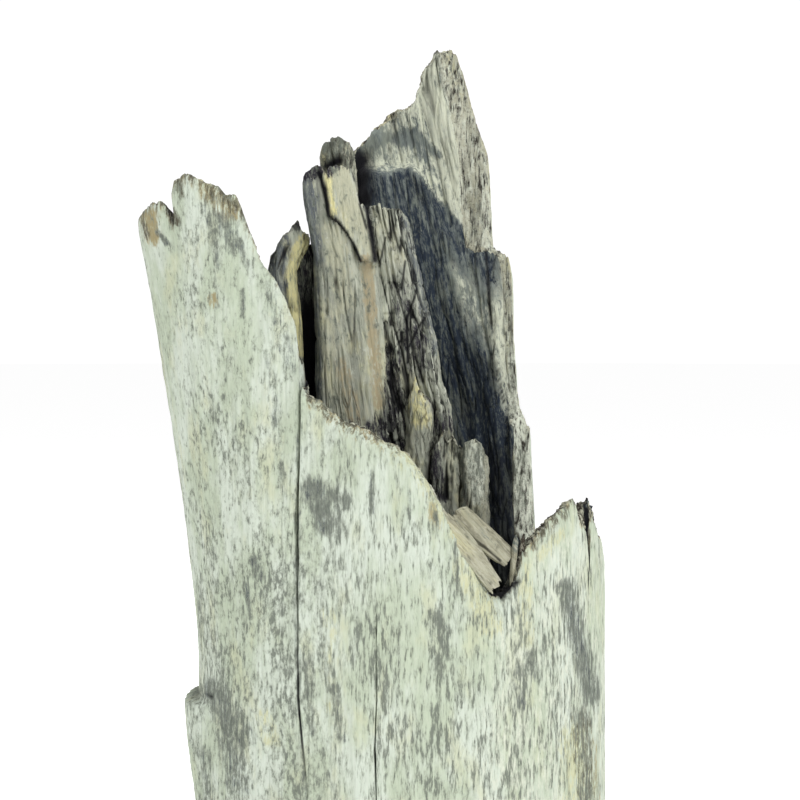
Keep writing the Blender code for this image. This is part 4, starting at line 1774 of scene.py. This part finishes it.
KNOB_STROKES = (
    *streaks(
        Paint.DECAY, (-0.06, 0.78, -0.06, 0.75, 0.024, 0.4),
        (-0.07, 0.768, -0.056, 0.779, 0.006, 0.8),
    ),
    *streaks(Paint.STAIN, (-0.06, 0.775, -0.06, 0.755, 0.013, 0.45)),
    # Black painted shade in the hollow under the knob's crown.
    *streaks(Paint.CREVICE, (-0.068, 0.752, -0.06, 0.757, 0.0055, 1.0)),
    *streaks(Paint.YELLOW, (-0.0725, 0.762, -0.072, 0.752, 0.0022, 0.8)),
)
NO_STROKES: tuple[Stroke, ...] = ()


STAVE_RELIEF = (
    Relief(Form.WAVE, 0.0028, 0.02, 0.15),
    Relief(Form.PLATE, 0.0022, 0.012, 0.07, 3.0, (0.02, 0.1)),
    Relief(Form.CRACK, -0.0045, 0.011, 0.14, 8.3, (0.07,), (0.045, 9.0, -0.15, 0.2)),
    Relief(Form.CRACK, -0.0024, 0.0055, 0.055, 12.0, (0.1,), (0.03, 19.0, -0.1, 0.25)),
    Relief(Form.WAVE, 0.001, 0.0032, 0.02, 11.0),
)
SPLIT_RELIEF = (
    Relief(Form.CRACK, -0.0045, 0.007, 0.08, 27.0, (0.11,)),
    Relief(Form.CRACK, -0.0022, 0.014, 0.018, 33.0, (0.06,)),
)
SPLINTER_RELIEF = (
    Relief(Form.WAVE, 0.0009, 0.005, 0.05),
    Relief(Form.WAVE, 0.0006, 0.0022, 0.02, 3.0),
    Relief(Form.CRACK, -0.0012, 0.004, 0.06, 8.0, (0.08,)),
)


@dataclass(frozen=True)
class Stave:
    """One standing part of the heartwood.

    levels holds its height, left, right, front and back at each level, and crown its top
    height by the share of its width from the left.
    """

    name: str
    levels: tuple[tuple[float, float, float, float, float], ...]
    crown: Outline
    fall: float = 0.25
    tear: float = 0.003
    corner: float = 0.01
    rough: float = 1.0
    column: float = 0.001
    row: float = 0.0025
    side_columns: int = 16
    strokes: tuple[Stroke, ...] = NO_STROKES
    flecks: float = 0.5
    # The height below which the sides are blackened as painted shade.
    shade_below: float = 0.5
    crumbly: bool = False
    seed: int = 1

    def section(self, height: Floats) -> tuple[Floats, Floats, Floats, Floats]:
        """The left, right, front and back at some heights."""
        level, *sides = (np.array(part) for part in zip(*self.levels))
        return tuple(np.interp(height, level, side) for side in sides)

    def front_shift(self, place: Floats, height: Floats) -> Floats:
        """How far the front face lies behind the section's front, here nowhere."""
        return 0.0 * place * height

    def top(self, across: Floats, depth: Floats, noise: Noise) -> Floats:
        """The torn top's height.

        Args:
            across: the place over the width, from 0 at the left to 1.
            depth: the place over the depth, from 0 at the front to 1.
            noise: the noise that tears it.

        Returns:
            The heights.
        """
        left, right, front, back = self.section(np.full(len(across), self.levels[-1][0]))
        own = np.full(len(across), 0.37 * self.seed)
        flat = np.stack([across * (right - left), depth * (back - front), own], axis=1)
        torn = noise.layered(flat / 0.01, 3, 0.65) + 0.5 * noise.at(flat / 0.0024)
        return along(self.crown, across) - self.fall * (back - front) * depth + self.tear * torn

    def places(self, across: Floats, depth: Floats, height: Floats) -> Floats:
        """Points of the section, with rounded upright edges.

        Args:
            across: the place over the width, from 0 at the left to 1.
            depth: the place over the depth, from 0 at the front to 1.
            height: the heights.

        Returns:
            Rows of x, y, z.
        """
        left, right, front, back = self.section(height)
        place = left + (right - left) * across
        front = front + self.front_shift(place, height)
        half = (right - left) / 2.0
        radius = np.minimum(self.corner, half)
        edge = np.clip((np.abs(place - (left + right) / 2.0) - (half - radius)) / radius, 0.0, 1.0)
        inset = radius * (1.0 - np.sqrt(1.0 - edge**2 * 0.999))
        behind = (front + inset) * (1.0 - depth) + (back - inset) * depth
        return np.stack([place, behind, height], axis=1)

    def build(self, finishes: tuple[bpy.types.Material, ...]) -> bpy.types.Object:
        """Makes the stave as one closed mesh.

        Args:
            finishes: the materials of the sides and of the torn top.

        Returns:
            The object.
        """
        noise = Noise(100 + self.seed)
        middle = self.levels[len(self.levels) // 2]
        count = max(8, int((middle[2] - middle[1]) / self.column))
        steps = np.linspace(0.0, 1.0, count + 1)
        turns = np.linspace(0.0, 1.0, self.side_columns + 1)
        sides = len(turns) - 2
        across = np.concatenate([steps, np.ones(sides), steps[::-1], np.zeros(sides)])
        depth = np.concatenate([0.0 * steps, turns[1:-1], 1.0 + 0.0 * steps, turns[-2:0:-1]])
        rim = self.top(across, depth, noise)
        rows, height = climb(rim, self.levels[0][0], self.row)
        wide, deep = np.repeat(across, rows + 1), np.repeat(depth, rows + 1)
        skin = Skin()
        index = climb_index(rows, skin.add(self.places(wide, deep, height)))
        girth = np.linspace(0.01, 0.99, len(across) + 1)
        tall = self.levels[-1][0] + 0.03 - self.levels[0][0]
        skin.sheet(index, 0, girth, 0.01 + (height[index] - self.levels[0][0]) / tall * 0.76)
        below = [np.repeat(rim, rows + 1) - height]
        inner_wide, inner_deep = np.meshgrid(steps[1:-1], turns[1:-1])
        flat_wide, flat_deep = inner_wide.ravel(), inner_deep.ravel()
        level = self.top(flat_wide, flat_deep, noise)
        cap = skin.add(self.places(flat_wide, flat_deep, level)) + np.arange(level.size)
        below.append(np.zeros(level.size))
        self._lid(skin, index[-1, :-1], cap.reshape(inner_wide.shape), steps, turns, 1, 0.01, False)
        foot_level = np.full(level.size, self.levels[0][0])
        foot = skin.add(self.places(flat_wide, flat_deep, foot_level)) + np.arange(level.size)
        below.append(np.full(level.size, 0.3))
        self._lid(skin, index[0, :-1], foot.reshape(inner_wide.shape), steps, turns, 0, 0.52, True)
        made = skin.object(f"heartwood_{self.name}", finishes)
        both = ((wide, flat_wide, flat_wide), (deep, flat_deep, flat_deep))
        places = np.stack([np.concatenate(part) for part in both], axis=1)
        capped = np.concatenate([np.zeros(len(height)), np.ones(level.size), np.zeros(level.size)])
        self._weather(made, places, np.concatenate(below), capped, noise)
        return made

    def _lid(
        self, skin: Skin, ring: Floats, inner: Floats, steps: Floats, turns: Floats, slot: int,
        place: float, flip: bool,
    ) -> None:
        """Closes the top or the foot with a grid that shares the ring's vertices.

        Args:
            skin: the mesh being gathered.
            ring: the vertex numbers round the sides, from the front's left corner.
            inner: the vertex numbers inside the ring.
            steps: the places over the width.
            turns: the places over the depth.
            slot: the faces' material slot.
            place: the lid's left edge on the bake map.
            flip: turns the faces the other way.
        """
        wide, deep = len(steps), len(turns)
        grid = np.zeros((deep, wide), dtype=int)
        grid[0] = ring[:wide]
        grid[-1] = ring[wide + deep - 2 : 2 * wide + deep - 2][::-1]
        grid[1:-1, -1] = ring[wide : wide + deep - 2]
        grid[1:-1, 0] = ring[2 * wide + deep - 2 :][::-1]
        grid[1:-1, 1:-1] = inner
        up = 0.8 + 0.18 * turns[:, None] + 0.0 * steps[None, :]
        skin.sheet(grid, slot, place + 0.46 * steps, up, flip)

    def fissured(self, places: Floats, points: Floats, noise: Noise) -> Floats:
        """The relief of the weathered sides.

        Args:
            places: each vertex's place over the width and the depth.
            points: the vertices.
            noise: the noise that shapes them.

        Returns:
            How far each vertex moves outwards.
        """
        middle = self.levels[len(self.levels) // 2]
        place = places[:, 0] * (middle[2] - middle[1])
        depth = points[:, 1] * 0.6 + places[:, 1] * 0.05
        laid = np.stack([place, depth, points[:, 2]], axis=1)
        return carved(STAVE_RELIEF, noise, laid) * self.rough

    def split(self, points: Floats) -> Floats:
        """How much of the fissures each vertex shows, here the same all over."""
        return np.full(len(points), 0.6)

    def _weather(
        self, made: bpy.types.Object, places: Floats, below: Floats, capped: Floats, noise: Noise
    ) -> None:
        """Gives the stave its relief and its paint.

        Args:
            made: the stave.
            places: each vertex's place over the width and the depth.
            below: how far each vertex lies under the torn top.
            capped: 1 for each vertex on the top.
            noise: the noise that shapes them.
        """
        points = coordinates(made)
        amount = self.fissured(places, points, noise)
        crumbs = 0.0018 * noise.layered(points / 0.006 + 13.0, 3, 0.65)
        low = smooth(0.53, 0.47, points[:, 2])
        amount = np.where(capped > 0.5, crumbs, amount + 1.3 * low * crumbs)
        amount[points[:, 2] < self.levels[0][0] + 0.001] = 0.0
        swell(made, amount)
        masks = bare(len(points))
        ragged = noise.layered(fibres(points, 0.005, 0.014) + 77.0, 3, 0.6)
        lay_strokes(masks, self.strokes, points, ragged, np.ones(len(points)))
        drift = noise.layered(fibres(points, 0.02, 0.06) + 15.0, 3)
        cover(masks, Paint.PALE, 0.6 * smooth(0.25, 0.6, drift))
        # Painted shade: black in the grooves of the sides, and on the lower part, where the stave
        # stands deep in the hollow.
        cover(masks, Paint.CREVICE, 0.9 * smooth(-0.0008, -0.004, amount) * (capped < 0.5))
        deep = smooth(self.shade_below, self.shade_below - 0.14, points[:, 2])
        cover(masks, Paint.CREVICE, 0.75 * deep)
        cover(masks, Paint.DECAY, np.exp(-below / 0.006) * smooth(-0.25, 0.25, ragged) * 0.75)
        masks[Paint.FLECKS] += self.flecks
        masks[Paint.RUN] += self.split(points)
        paint(made, masks)


@dataclass(frozen=True)
class Slab(Stave):
    """The heartwood's main slab, whose front steps back from left to right.

    The steps, the streak's edge and the cleft are an X at each height, and the ledge under the
    cream upper part is a height at each X.
    """

    first_step: Outline = (
        (0.16, -0.018), (0.486, -0.023), (0.54, -0.027), (0.602, -0.0355), (0.663, -0.043),
        (0.7, -0.048), (0.76, -0.052),
    )
    second_step: Outline = (
        (0.16, -0.008), (0.485, -0.011), (0.563, -0.013), (0.602, -0.016), (0.658, -0.0215),
        (0.712, -0.032), (0.76, -0.04),
    )
    streak_edge: Outline = ((0.6, -0.022), (0.66, -0.0225), (0.76, -0.036))
    cleft: Outline = ((0.6, -0.017), (0.66, -0.0222), (0.72, -0.0335))
    ledge: Outline = (
        (-0.08, 0.76), (-0.0739, 0.735), (-0.0713, 0.72), (-0.067, 0.702), (-0.0594, 0.698),
        (-0.0522, 0.687), (-0.0451, 0.6766), (-0.0382, 0.661), (-0.022, 0.655),
    )

    def front_shift(self, place: Floats, height: Floats) -> Floats:
        """The leaning slab stands proud, the streak lies behind it and the rest further back.

        Args:
            place: the X of each point.
            height: the Z of each point.

        Returns:
            How far the front face lies behind the section's front.
        """
        laid = np.stack([place / 0.012, 0.0 * place, height / 0.009], axis=1)
        fray = 0.0016 * Noise(55).layered(laid, 3, 0.65)
        place, height = place + fray, height + 1.5 * fray
        first, second = along(self.first_step, height), along(self.second_step, height)
        shift = 0.01 * smooth(-0.003, 0.004, place - first)
        shift = shift + 0.012 * smooth(-0.0008, 0.0008, place - second)
        above = smooth(-0.0006, 0.0006, height - along(self.ledge, place))
        left_of = smooth(0.001, -0.001, place - along(self.streak_edge, height))
        shift = shift - (0.006 + shift) * above * left_of
        cleft = np.abs(place - along(self.cleft, height))
        return shift + 0.015 * smooth(0.0032, 0.001, cleft) * smooth(0.652, 0.668, height)

    def fissured(self, places: Floats, points: Floats, noise: Noise) -> Floats:
        """The slab's relief: smooth in the streak, split on the right.

        Args:
            places: each vertex's place over the width and the depth.
            points: the vertices.
            noise: the noise that shapes them.

        Returns:
            How far each vertex moves outwards.
        """
        amount = super().fissured(places, points, noise)
        place, height = points[:, 0], points[:, 2]
        first, second = along(self.first_step, height), along(self.second_step, height)
        streak = smooth(-0.006, 0.0, place - first) * smooth(0.001, -0.001, place - second)
        above = smooth(0.0, 0.004, height - along(self.ledge, place))
        calm = np.maximum(streak * smooth(0.5, 0.53, height), 0.7 * above * (place < second))
        split = smooth(0.0, 0.002, place - second)
        laid = points + np.array([0.17, 0.0, 0.0]) * points[:, 2:]
        extra = SPLIT_RELIEF[0].over(noise, laid) + SPLIT_RELIEF[1].over(noise, points)
        return amount * (1.0 - 0.75 * calm) * (0.6 + 0.4 * split) + split * extra

    def split(self, points: Floats) -> Floats:
        """The fissures belong to the right part and the foot, and hardly show elsewhere."""
        right = smooth(-0.002, 0.003, points[:, 0] - along(self.second_step, points[:, 2]))
        return np.maximum(0.15 + 0.85 * right, smooth(0.56, 0.48, points[:, 2]))


SLAB = Slab(
    "slab",
    (
        (0.16, -0.082, 0.068, -0.094, 0.024), (0.426, -0.08, 0.054, -0.094, 0.024),
        (0.486, -0.079, 0.0505, -0.094, 0.022), (0.517, -0.08, 0.048, -0.094, 0.022),
        (0.543, -0.081, 0.039, -0.095, 0.02), (0.581, -0.081, 0.033, -0.096, 0.02),
        (0.605, -0.082, 0.027, -0.096, 0.018), (0.633, -0.082, 0.02, -0.096, 0.016),
        (0.666, -0.083, 0.014, -0.096, 0.014), (0.693, -0.088, 0.008, -0.095, 0.01),
        (0.715, -0.092, 0.003, -0.094, 0.006), (0.736, -0.094, 0.0, -0.093, 0.002),
        (0.76, -0.092, -0.004, -0.092, -0.002),
    ),
    (
        (0.0, 0.736), (0.03, 0.744), (0.08, 0.75), (0.19, 0.751), (0.24, 0.742), (0.27, 0.748),
        (0.36, 0.751), (0.5, 0.749), (0.54, 0.738), (0.552, 0.714), (0.62, 0.712), (0.66, 0.713),
        (0.82, 0.712), (0.95, 0.711), (1.0, 0.703),
    ),
    fall=0.22, tear=0.0036, corner=0.012, column=0.00085, row=0.0023, side_columns=26,
    strokes=HEART_STROKES,
)
STAVES = (
    SLAB,
    Stave(
        "knob",
        (
            (0.62, -0.074, -0.042, -0.072, -0.024), (0.745, -0.074, -0.046, -0.074, -0.024),
            (0.762, -0.076, -0.0435, -0.076, -0.024), (0.785, -0.0745, -0.045, -0.072, -0.028),
        ),
        ((0.0, 0.76), (0.05, 0.769), (0.15, 0.774), (0.38, 0.777), (0.62, 0.777), (0.85, 0.774),
         (0.95, 0.768), (1.0, 0.758)),
        tear=0.0016, corner=0.008, strokes=KNOB_STROKES, flecks=1.8, crumbly=True, seed=3,
    ),
    Stave(
        "middle_stake",
        (
            (0.16, 0.026, 0.064, -0.09, -0.05), (0.427, 0.032, 0.059, -0.088, -0.054),
            (0.496, 0.034, 0.057, -0.086, -0.056),
        ),
        ((0.0, 0.47), (0.2, 0.486), (0.4, 0.494), (0.55, 0.484), (0.75, 0.492), (1.0, 0.478)),
        tear=0.006, corner=0.008, rough=1.2, shade_below=0.45, seed=6,
        strokes=(
            Stroke(Paint.DECAY, (0.034, 0.48), (0.04, 0.43), 0.006, 0.8),
            Stroke(Paint.PALE, (0.048, 0.48), (0.05, 0.44), 0.0045, 0.6),
        ),
    ),
    Stave(
        "right_stake",
        (
            (0.16, 0.058, 0.088, -0.094, -0.06), (0.415, 0.06, 0.083, -0.094, -0.064),
            (0.488, 0.0615, 0.0815, -0.092, -0.066),
        ),
        ((0.0, 0.474), (0.25, 0.484), (0.6, 0.487), (0.9, 0.482), (1.0, 0.472)),
        tear=0.004, corner=0.008, rough=1.3, flecks=0.9, shade_below=0.44, crumbly=True, seed=7,
        strokes=(
            Stroke(Paint.PALE, (0.072, 0.478), (0.074, 0.43), 0.007, 0.75),
            Stroke(Paint.DECAY, (0.062, 0.47), (0.064, 0.42), 0.003, 0.7),
        ),
    ),
    Stave(
        "pale_nub",
        (
            (0.44, 0.008, 0.028, -0.076, -0.052), (0.5, 0.008, 0.03, -0.087, -0.056),
            (0.52, 0.009, 0.029, -0.088, -0.058), (0.545, 0.011, 0.022, -0.084, -0.06),
        ),
        ((0.0, 0.52), (0.2, 0.534), (0.35, 0.545), (0.5, 0.534), (0.8, 0.532), (1.0, 0.514)),
        tear=0.005, corner=0.008, shade_below=0.46, seed=8,
        strokes=(
            Stroke(Paint.YELLOW, (0.014, 0.54), (0.02, 0.505), 0.008, 0.7),
            Stroke(Paint.PALE, (0.022, 0.528), (0.026, 0.5), 0.005, 0.7),
        ),
    ),
    Stave(
        "grey_strip",
        (
            (0.16, -0.13, -0.08, -0.078, -0.056), (0.56, -0.128, -0.0965, -0.078, -0.058),
            (0.6, -0.127, -0.0975, -0.078, -0.058), (0.63, -0.1265, -0.101, -0.078, -0.06),
            (0.65, -0.126, -0.1025, -0.078, -0.06), (0.664, -0.1235, -0.0955, -0.078, -0.06),
            (0.676, -0.121, -0.0895, -0.077, -0.06), (0.7, -0.116, -0.089, -0.076, -0.061),
        ),
        ((0.0, 0.664), (0.08, 0.674), (0.16, 0.684), (0.36, 0.688), (0.42, 0.693), (0.62, 0.697),
         (0.75, 0.69), (1.0, 0.684)),
        fall=0.2, tear=0.0035, corner=0.007, rough=0.7, strokes=STRIP_STROKES, shade_below=0.44,
        seed=9,
    ),
    Stave(
        "brown_strip",
        (
            (0.16, -0.112, -0.074, -0.052, -0.026), (0.6, -0.11, -0.077, -0.054, -0.028),
            (0.66, -0.106, -0.079, -0.058, -0.034), (0.69, -0.1, -0.08, -0.058, -0.036),
        ),
        ((0.0, 0.664), (0.5, 0.676), (1.0, 0.672)),
        fall=0.2, tear=0.003, rough=0.8, shade_below=0.68, seed=10,
        strokes=(
            Stroke(Paint.DECAY, (-0.092, 0.668), (-0.09, 0.6), 0.02, 0.8),
            # The black stroke is painted shade down the strip's lower part.
            Stroke(Paint.CREVICE, (-0.092, 0.6), (-0.088, 0.4), 0.03, 1.0),
        ),
    ),
)


@dataclass(frozen=True)
class Splinter:
    """A flat splinter that lies along the front break.

    outward is the way that its flat side looks, and point the share of its length in which it
    comes to its full width.
    """

    name: str
    start: tuple[float, float, float]
    end: tuple[float, float, float]
    outward: tuple[float, float, float]
    width: float
    thickness: float
    point: float = 0.2
    strokes: tuple[Stroke, ...] = NO_STROKES
    seed: int = 1
    count: int = 48
    rows: int = 64

    def build(self, finish: bpy.types.Material) -> bpy.types.Object:
        """Makes the splinter.

        Args:
            finish: its material.

        Returns:
            The object.
        """
        noise = Noise(self.seed)
        start, end = Vector(self.start), Vector(self.end)
        direction = (end - start).normalized()
        side = direction.cross(Vector(self.outward)).normalized()
        depth = side.cross(direction).normalized()
        turn = np.arange(self.count) / self.count * 2.0 * math.pi
        across = np.sign(np.sin(turn)) * np.abs(np.sin(turn)) ** 0.5
        deep = np.sign(np.cos(turn)) * np.abs(np.cos(turn)) ** 0.5
        ends = noise.layered(np.stack([across * 3.0, deep * 0.6, 0.0 * deep], axis=1), 2)
        skin = Skin()
        rings = []
        for row in range(self.rows + 1):
            share = row / self.rows
            taper = 0.22 + 0.78 * math.sin(0.5 * math.pi * min(1.0, share / self.point)) ** 0.7
            taper *= 1.0 - 0.3 * share**3
            run = share + 0.06 * ends * (share**3 - (1.0 - share) ** 3)
            line = np.array(start)[None, :] + run[:, None] * np.array(end - start)[None, :]
            line += (across * self.width / 2 * taper)[:, None] * np.array(side)[None, :]
            line += (deep * self.thickness / 2 * taper)[:, None] * np.array(depth)[None, :]
            rings.append(closed(skin.add(line) + np.arange(self.count)))
        grid = np.array(rings)
        girth = np.linspace(0.01, 0.85, self.count + 1)
        levels = np.linspace(0.01, 0.99, self.rows + 1)[:, None] + 0.0 * girth
        skin.sheet(grid, 0, girth, levels)
        for ring, middle, flip in ((grid[0, :-1], 0.12, True), (grid[-1, :-1], 0.62, False)):
            corners = np.stack([ring, 0.93 + 0.05 * across, middle + 0.2 * deep], axis=1).tolist()
            skin.face(corners[::-1] if flip else corners, 0)
        made = skin.object(f"splinter_{self.name}", (finish,))
        points = coordinates(made)
        turned = points @ np.array([side, depth, direction]).T
        amount = carved(SPLINTER_RELIEF, noise, turned)
        swell(made, amount)
        masks = bare(len(points))
        ragged = noise.layered(points / 0.006, 3)
        lay_strokes(masks, self.strokes, points, ragged, np.ones(len(points)))
        # Painted shade in the splinter's grooves.
        cover(masks, Paint.CREVICE, 0.6 * smooth(-0.0006, -0.0016, amount))
        masks[Paint.FLECKS] += 0.15
        paint(made, masks)
        return made


SPLINTERS = (
    Splinter(
        "inner", (0.0515, -0.17, 0.421), (0.1035, -0.16, 0.3775), (0.2, -1.0, 0.45), 0.026,
        0.008, 0.1,
        (
            Stroke(Paint.CREVICE, (0.06, 0.407), (0.095, 0.3765), 0.001, 0.8),
            Stroke(Paint.STAIN, (0.076, 0.406), (0.09, 0.393), 0.0022, 0.6),
        ),
        seed=201,
    ),
    Splinter(
        "outer", (0.038, -0.193, 0.425), (0.09, -0.181, 0.353), (0.3, -1.0, 0.25), 0.0225,
        0.01, 0.6, seed=202,
    ),
    Splinter(
        "bark", (0.11, -0.16, 0.4), (0.106, -0.163, 0.352), (0.5, -1.0, 0.0), 0.0055,
        0.004, 0.3, (Stroke(Paint.STAIN, (0.11, 0.4), (0.11, 0.39), 0.006, 0.6),), seed=203,
    ),
    Splinter(
        "bark_shred", (0.118, -0.156, 0.4), (0.111, -0.163, 0.358), (0.5, -1.0, 0.0), 0.0045,
        0.003, 0.3, (Stroke(Paint.DECAY, (0.119, 0.41), (0.104, 0.34), 0.02),), seed=204,
    ),
)


@dataclass
class Heartwood:
    """What is left of the heartwood and of the torn front: staves and splinters."""

    staves: tuple[Stave, ...] = STAVES
    splinters: tuple[Splinter, ...] = SPLINTERS

    def build(
        self, heart: bpy.types.Material, torn: bpy.types.Material, split: bpy.types.Material
    ) -> list[bpy.types.Object]:
        """Makes one piece of each stave and splinter.

        Args:
            heart: the material of the staves' sides.
            torn: the material of the torn tops.
            split: the material of the splinters.

        Returns:
            The objects.
        """
        standing = [stave.build((torn if stave.crumbly else heart, torn)) for stave in self.staves]
        return standing + [splinter.build(split) for splinter in self.splinters]


# --------------------------------------------------------------------------- the studio


@dataclass
class Studio:
    """The floor, the lights and the camera.

    The camera stands at distance, elevation degrees up, and sees a square as wide as field. It
    looks at the trunk's axis at aim_share of its height.
    """

    distance: float = 3.0
    elevation: float = 3.0
    field: float = 0.8
    aim_share: float = 0.589
    floor_radius: float = 14.0
    floor_drop: float = 0.0005
    floor_glow: float = 0.56
    lamp_aim: float = 0.45

    def build(self, low: Vector, high: Vector) -> None:
        """Sets the studio up round the trunk's box.

        Args:
            low: the lowest corner of the trunk's box.
            high: the highest corner.
        """
        self._camera(low.z + (high.z - low.z) * self.aim_share)
        self._floor(low.z)
        self._light("key", (1.6, -2.6, 2.3), 1.6, 56.0)
        self._light("fill", (-2.4, -1.9, 1.2), 2.0, 14.0)
        self._light("top", (0.0, 0.3, 3.2), 2.4, 60.0)
        self._light("back", (0.5, 2.8, 1.6), 2.2, 36.0)
        self._world()
        bpy.context.scene.view_settings.view_transform = "Standard"

    def _camera(self, height: float) -> None:
        """Places the camera in front of the low broken side.

        Args:
            height: the height that it looks at.
        """
        lens = bpy.data.cameras.new("camera")
        lens.sensor_width = 36.0
        lens.lens = lens.sensor_width * self.distance / self.field
        camera = bpy.data.objects.new("camera", lens)
        tilt = math.radians(self.elevation)
        target = Vector((0.0, 0.0, height))
        camera.location = target + Vector((0.0, -math.cos(tilt), math.sin(tilt))) * self.distance
        camera.rotation_euler = (target - camera.location).to_track_quat("-Z", "Y").to_euler()
        bpy.context.scene.collection.objects.link(camera)
        bpy.context.scene.camera = camera

    def _floor(self, height: float) -> None:
        """Lays a wide pale floor that glows a little, like lit paper.

        Args:
            height: the floor's height.
        """
        mesh = bpy.data.meshes.new("floor")
        turns = [math.radians(angle) for angle in range(0, 360, 5)]
        wide, level = self.floor_radius, height - self.floor_drop
        ring = [(wide * math.cos(turn), wide * math.sin(turn), level) for turn in turns]
        mesh.from_pydata(ring, [], [list(range(len(ring)))])
        floor = bpy.data.objects.new("floor", mesh)
        material = bpy.data.materials.new("floor_paper")
        material.use_nodes = True
        shader = material.node_tree.nodes["Principled BSDF"]
        shader.inputs["Base Color"].default_value = (0.93, 0.93, 0.93, 1.0)
        shader.inputs["Roughness"].default_value = 0.95
        shader.inputs["Specular IOR Level"].default_value = 0.0
        shader.inputs["Emission Color"].default_value = (1.0, 1.0, 1.0, 1.0)
        shader.inputs["Emission Strength"].default_value = self.floor_glow
        mesh.materials.append(material)
        bpy.context.scene.collection.objects.link(floor)

    def _light(
        self, name: str, place: tuple[float, float, float], size: float, power: float
    ) -> None:
        """Adds a soft square lamp that points at the trunk.

        Args:
            name: the lamp's name.
            place: where it hangs.
            size: its side in metres.
            power: its power in watts.
        """
        lamp = bpy.data.lights.new(name, "AREA")
        lamp.size = size
        lamp.energy = power
        holder = bpy.data.objects.new(name, lamp)
        holder.location = place
        towards = Vector((0.0, 0.0, self.lamp_aim)) - Vector(place)
        holder.rotation_euler = towards.to_track_quat("-Z", "Y").to_euler()
        bpy.context.scene.collection.objects.link(holder)

    def _world(self) -> None:
        """Surrounds the studio with a plain white cloth."""
        world = bpy.data.worlds.new("white_cloth")
        world.use_nodes = True
        graph = Graph(world.node_tree)
        shader = world.node_tree.nodes["Background"]
        seen = graph.node("LightPath").outputs["Is Camera Ray"]
        graph.feed(shader.inputs["Strength"], graph.total(graph.times(seen, 0.6), 0.45))
        shader.inputs["Color"].default_value = (1.0, 1.0, 1.0, 1.0)
        bpy.context.scene.world = world


# --------------------------------------------------------------------------- the whole trunk


def adopt(piece: bpy.types.Object) -> None:
    """Makes a piece ride with the trunk's body and stand for its solid.

    Args:
        piece: the piece.
    """
    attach(piece, BODY)
    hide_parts(NODE)
    mesh = piece.data
    LOG.info("%s: %d vertices, %d faces", piece.name, len(mesh.vertices), len(mesh.polygons))


def main() -> None:
    """Builds the studio and the trunk, piece by piece."""
    logging.basicConfig(level=logging.INFO, format="%(name)s: %(message)s")
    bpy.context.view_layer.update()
    low, high = (Vector(corner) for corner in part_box(NODE))
    Studio().build(low, high)
    effects = Effects().build()
    bleached, torn, split, decayed, heart = (
        finish.build(effects) for finish in (BLEACHED, TORN, SPLIT, DECAYED, HEARTWOOD)
    )
    adopt(Wall().build((bleached, torn, decayed, torn)))
    for piece in Heartwood().build(heart, torn, split):
        adopt(piece)


if __name__ == "__main__":
    main()
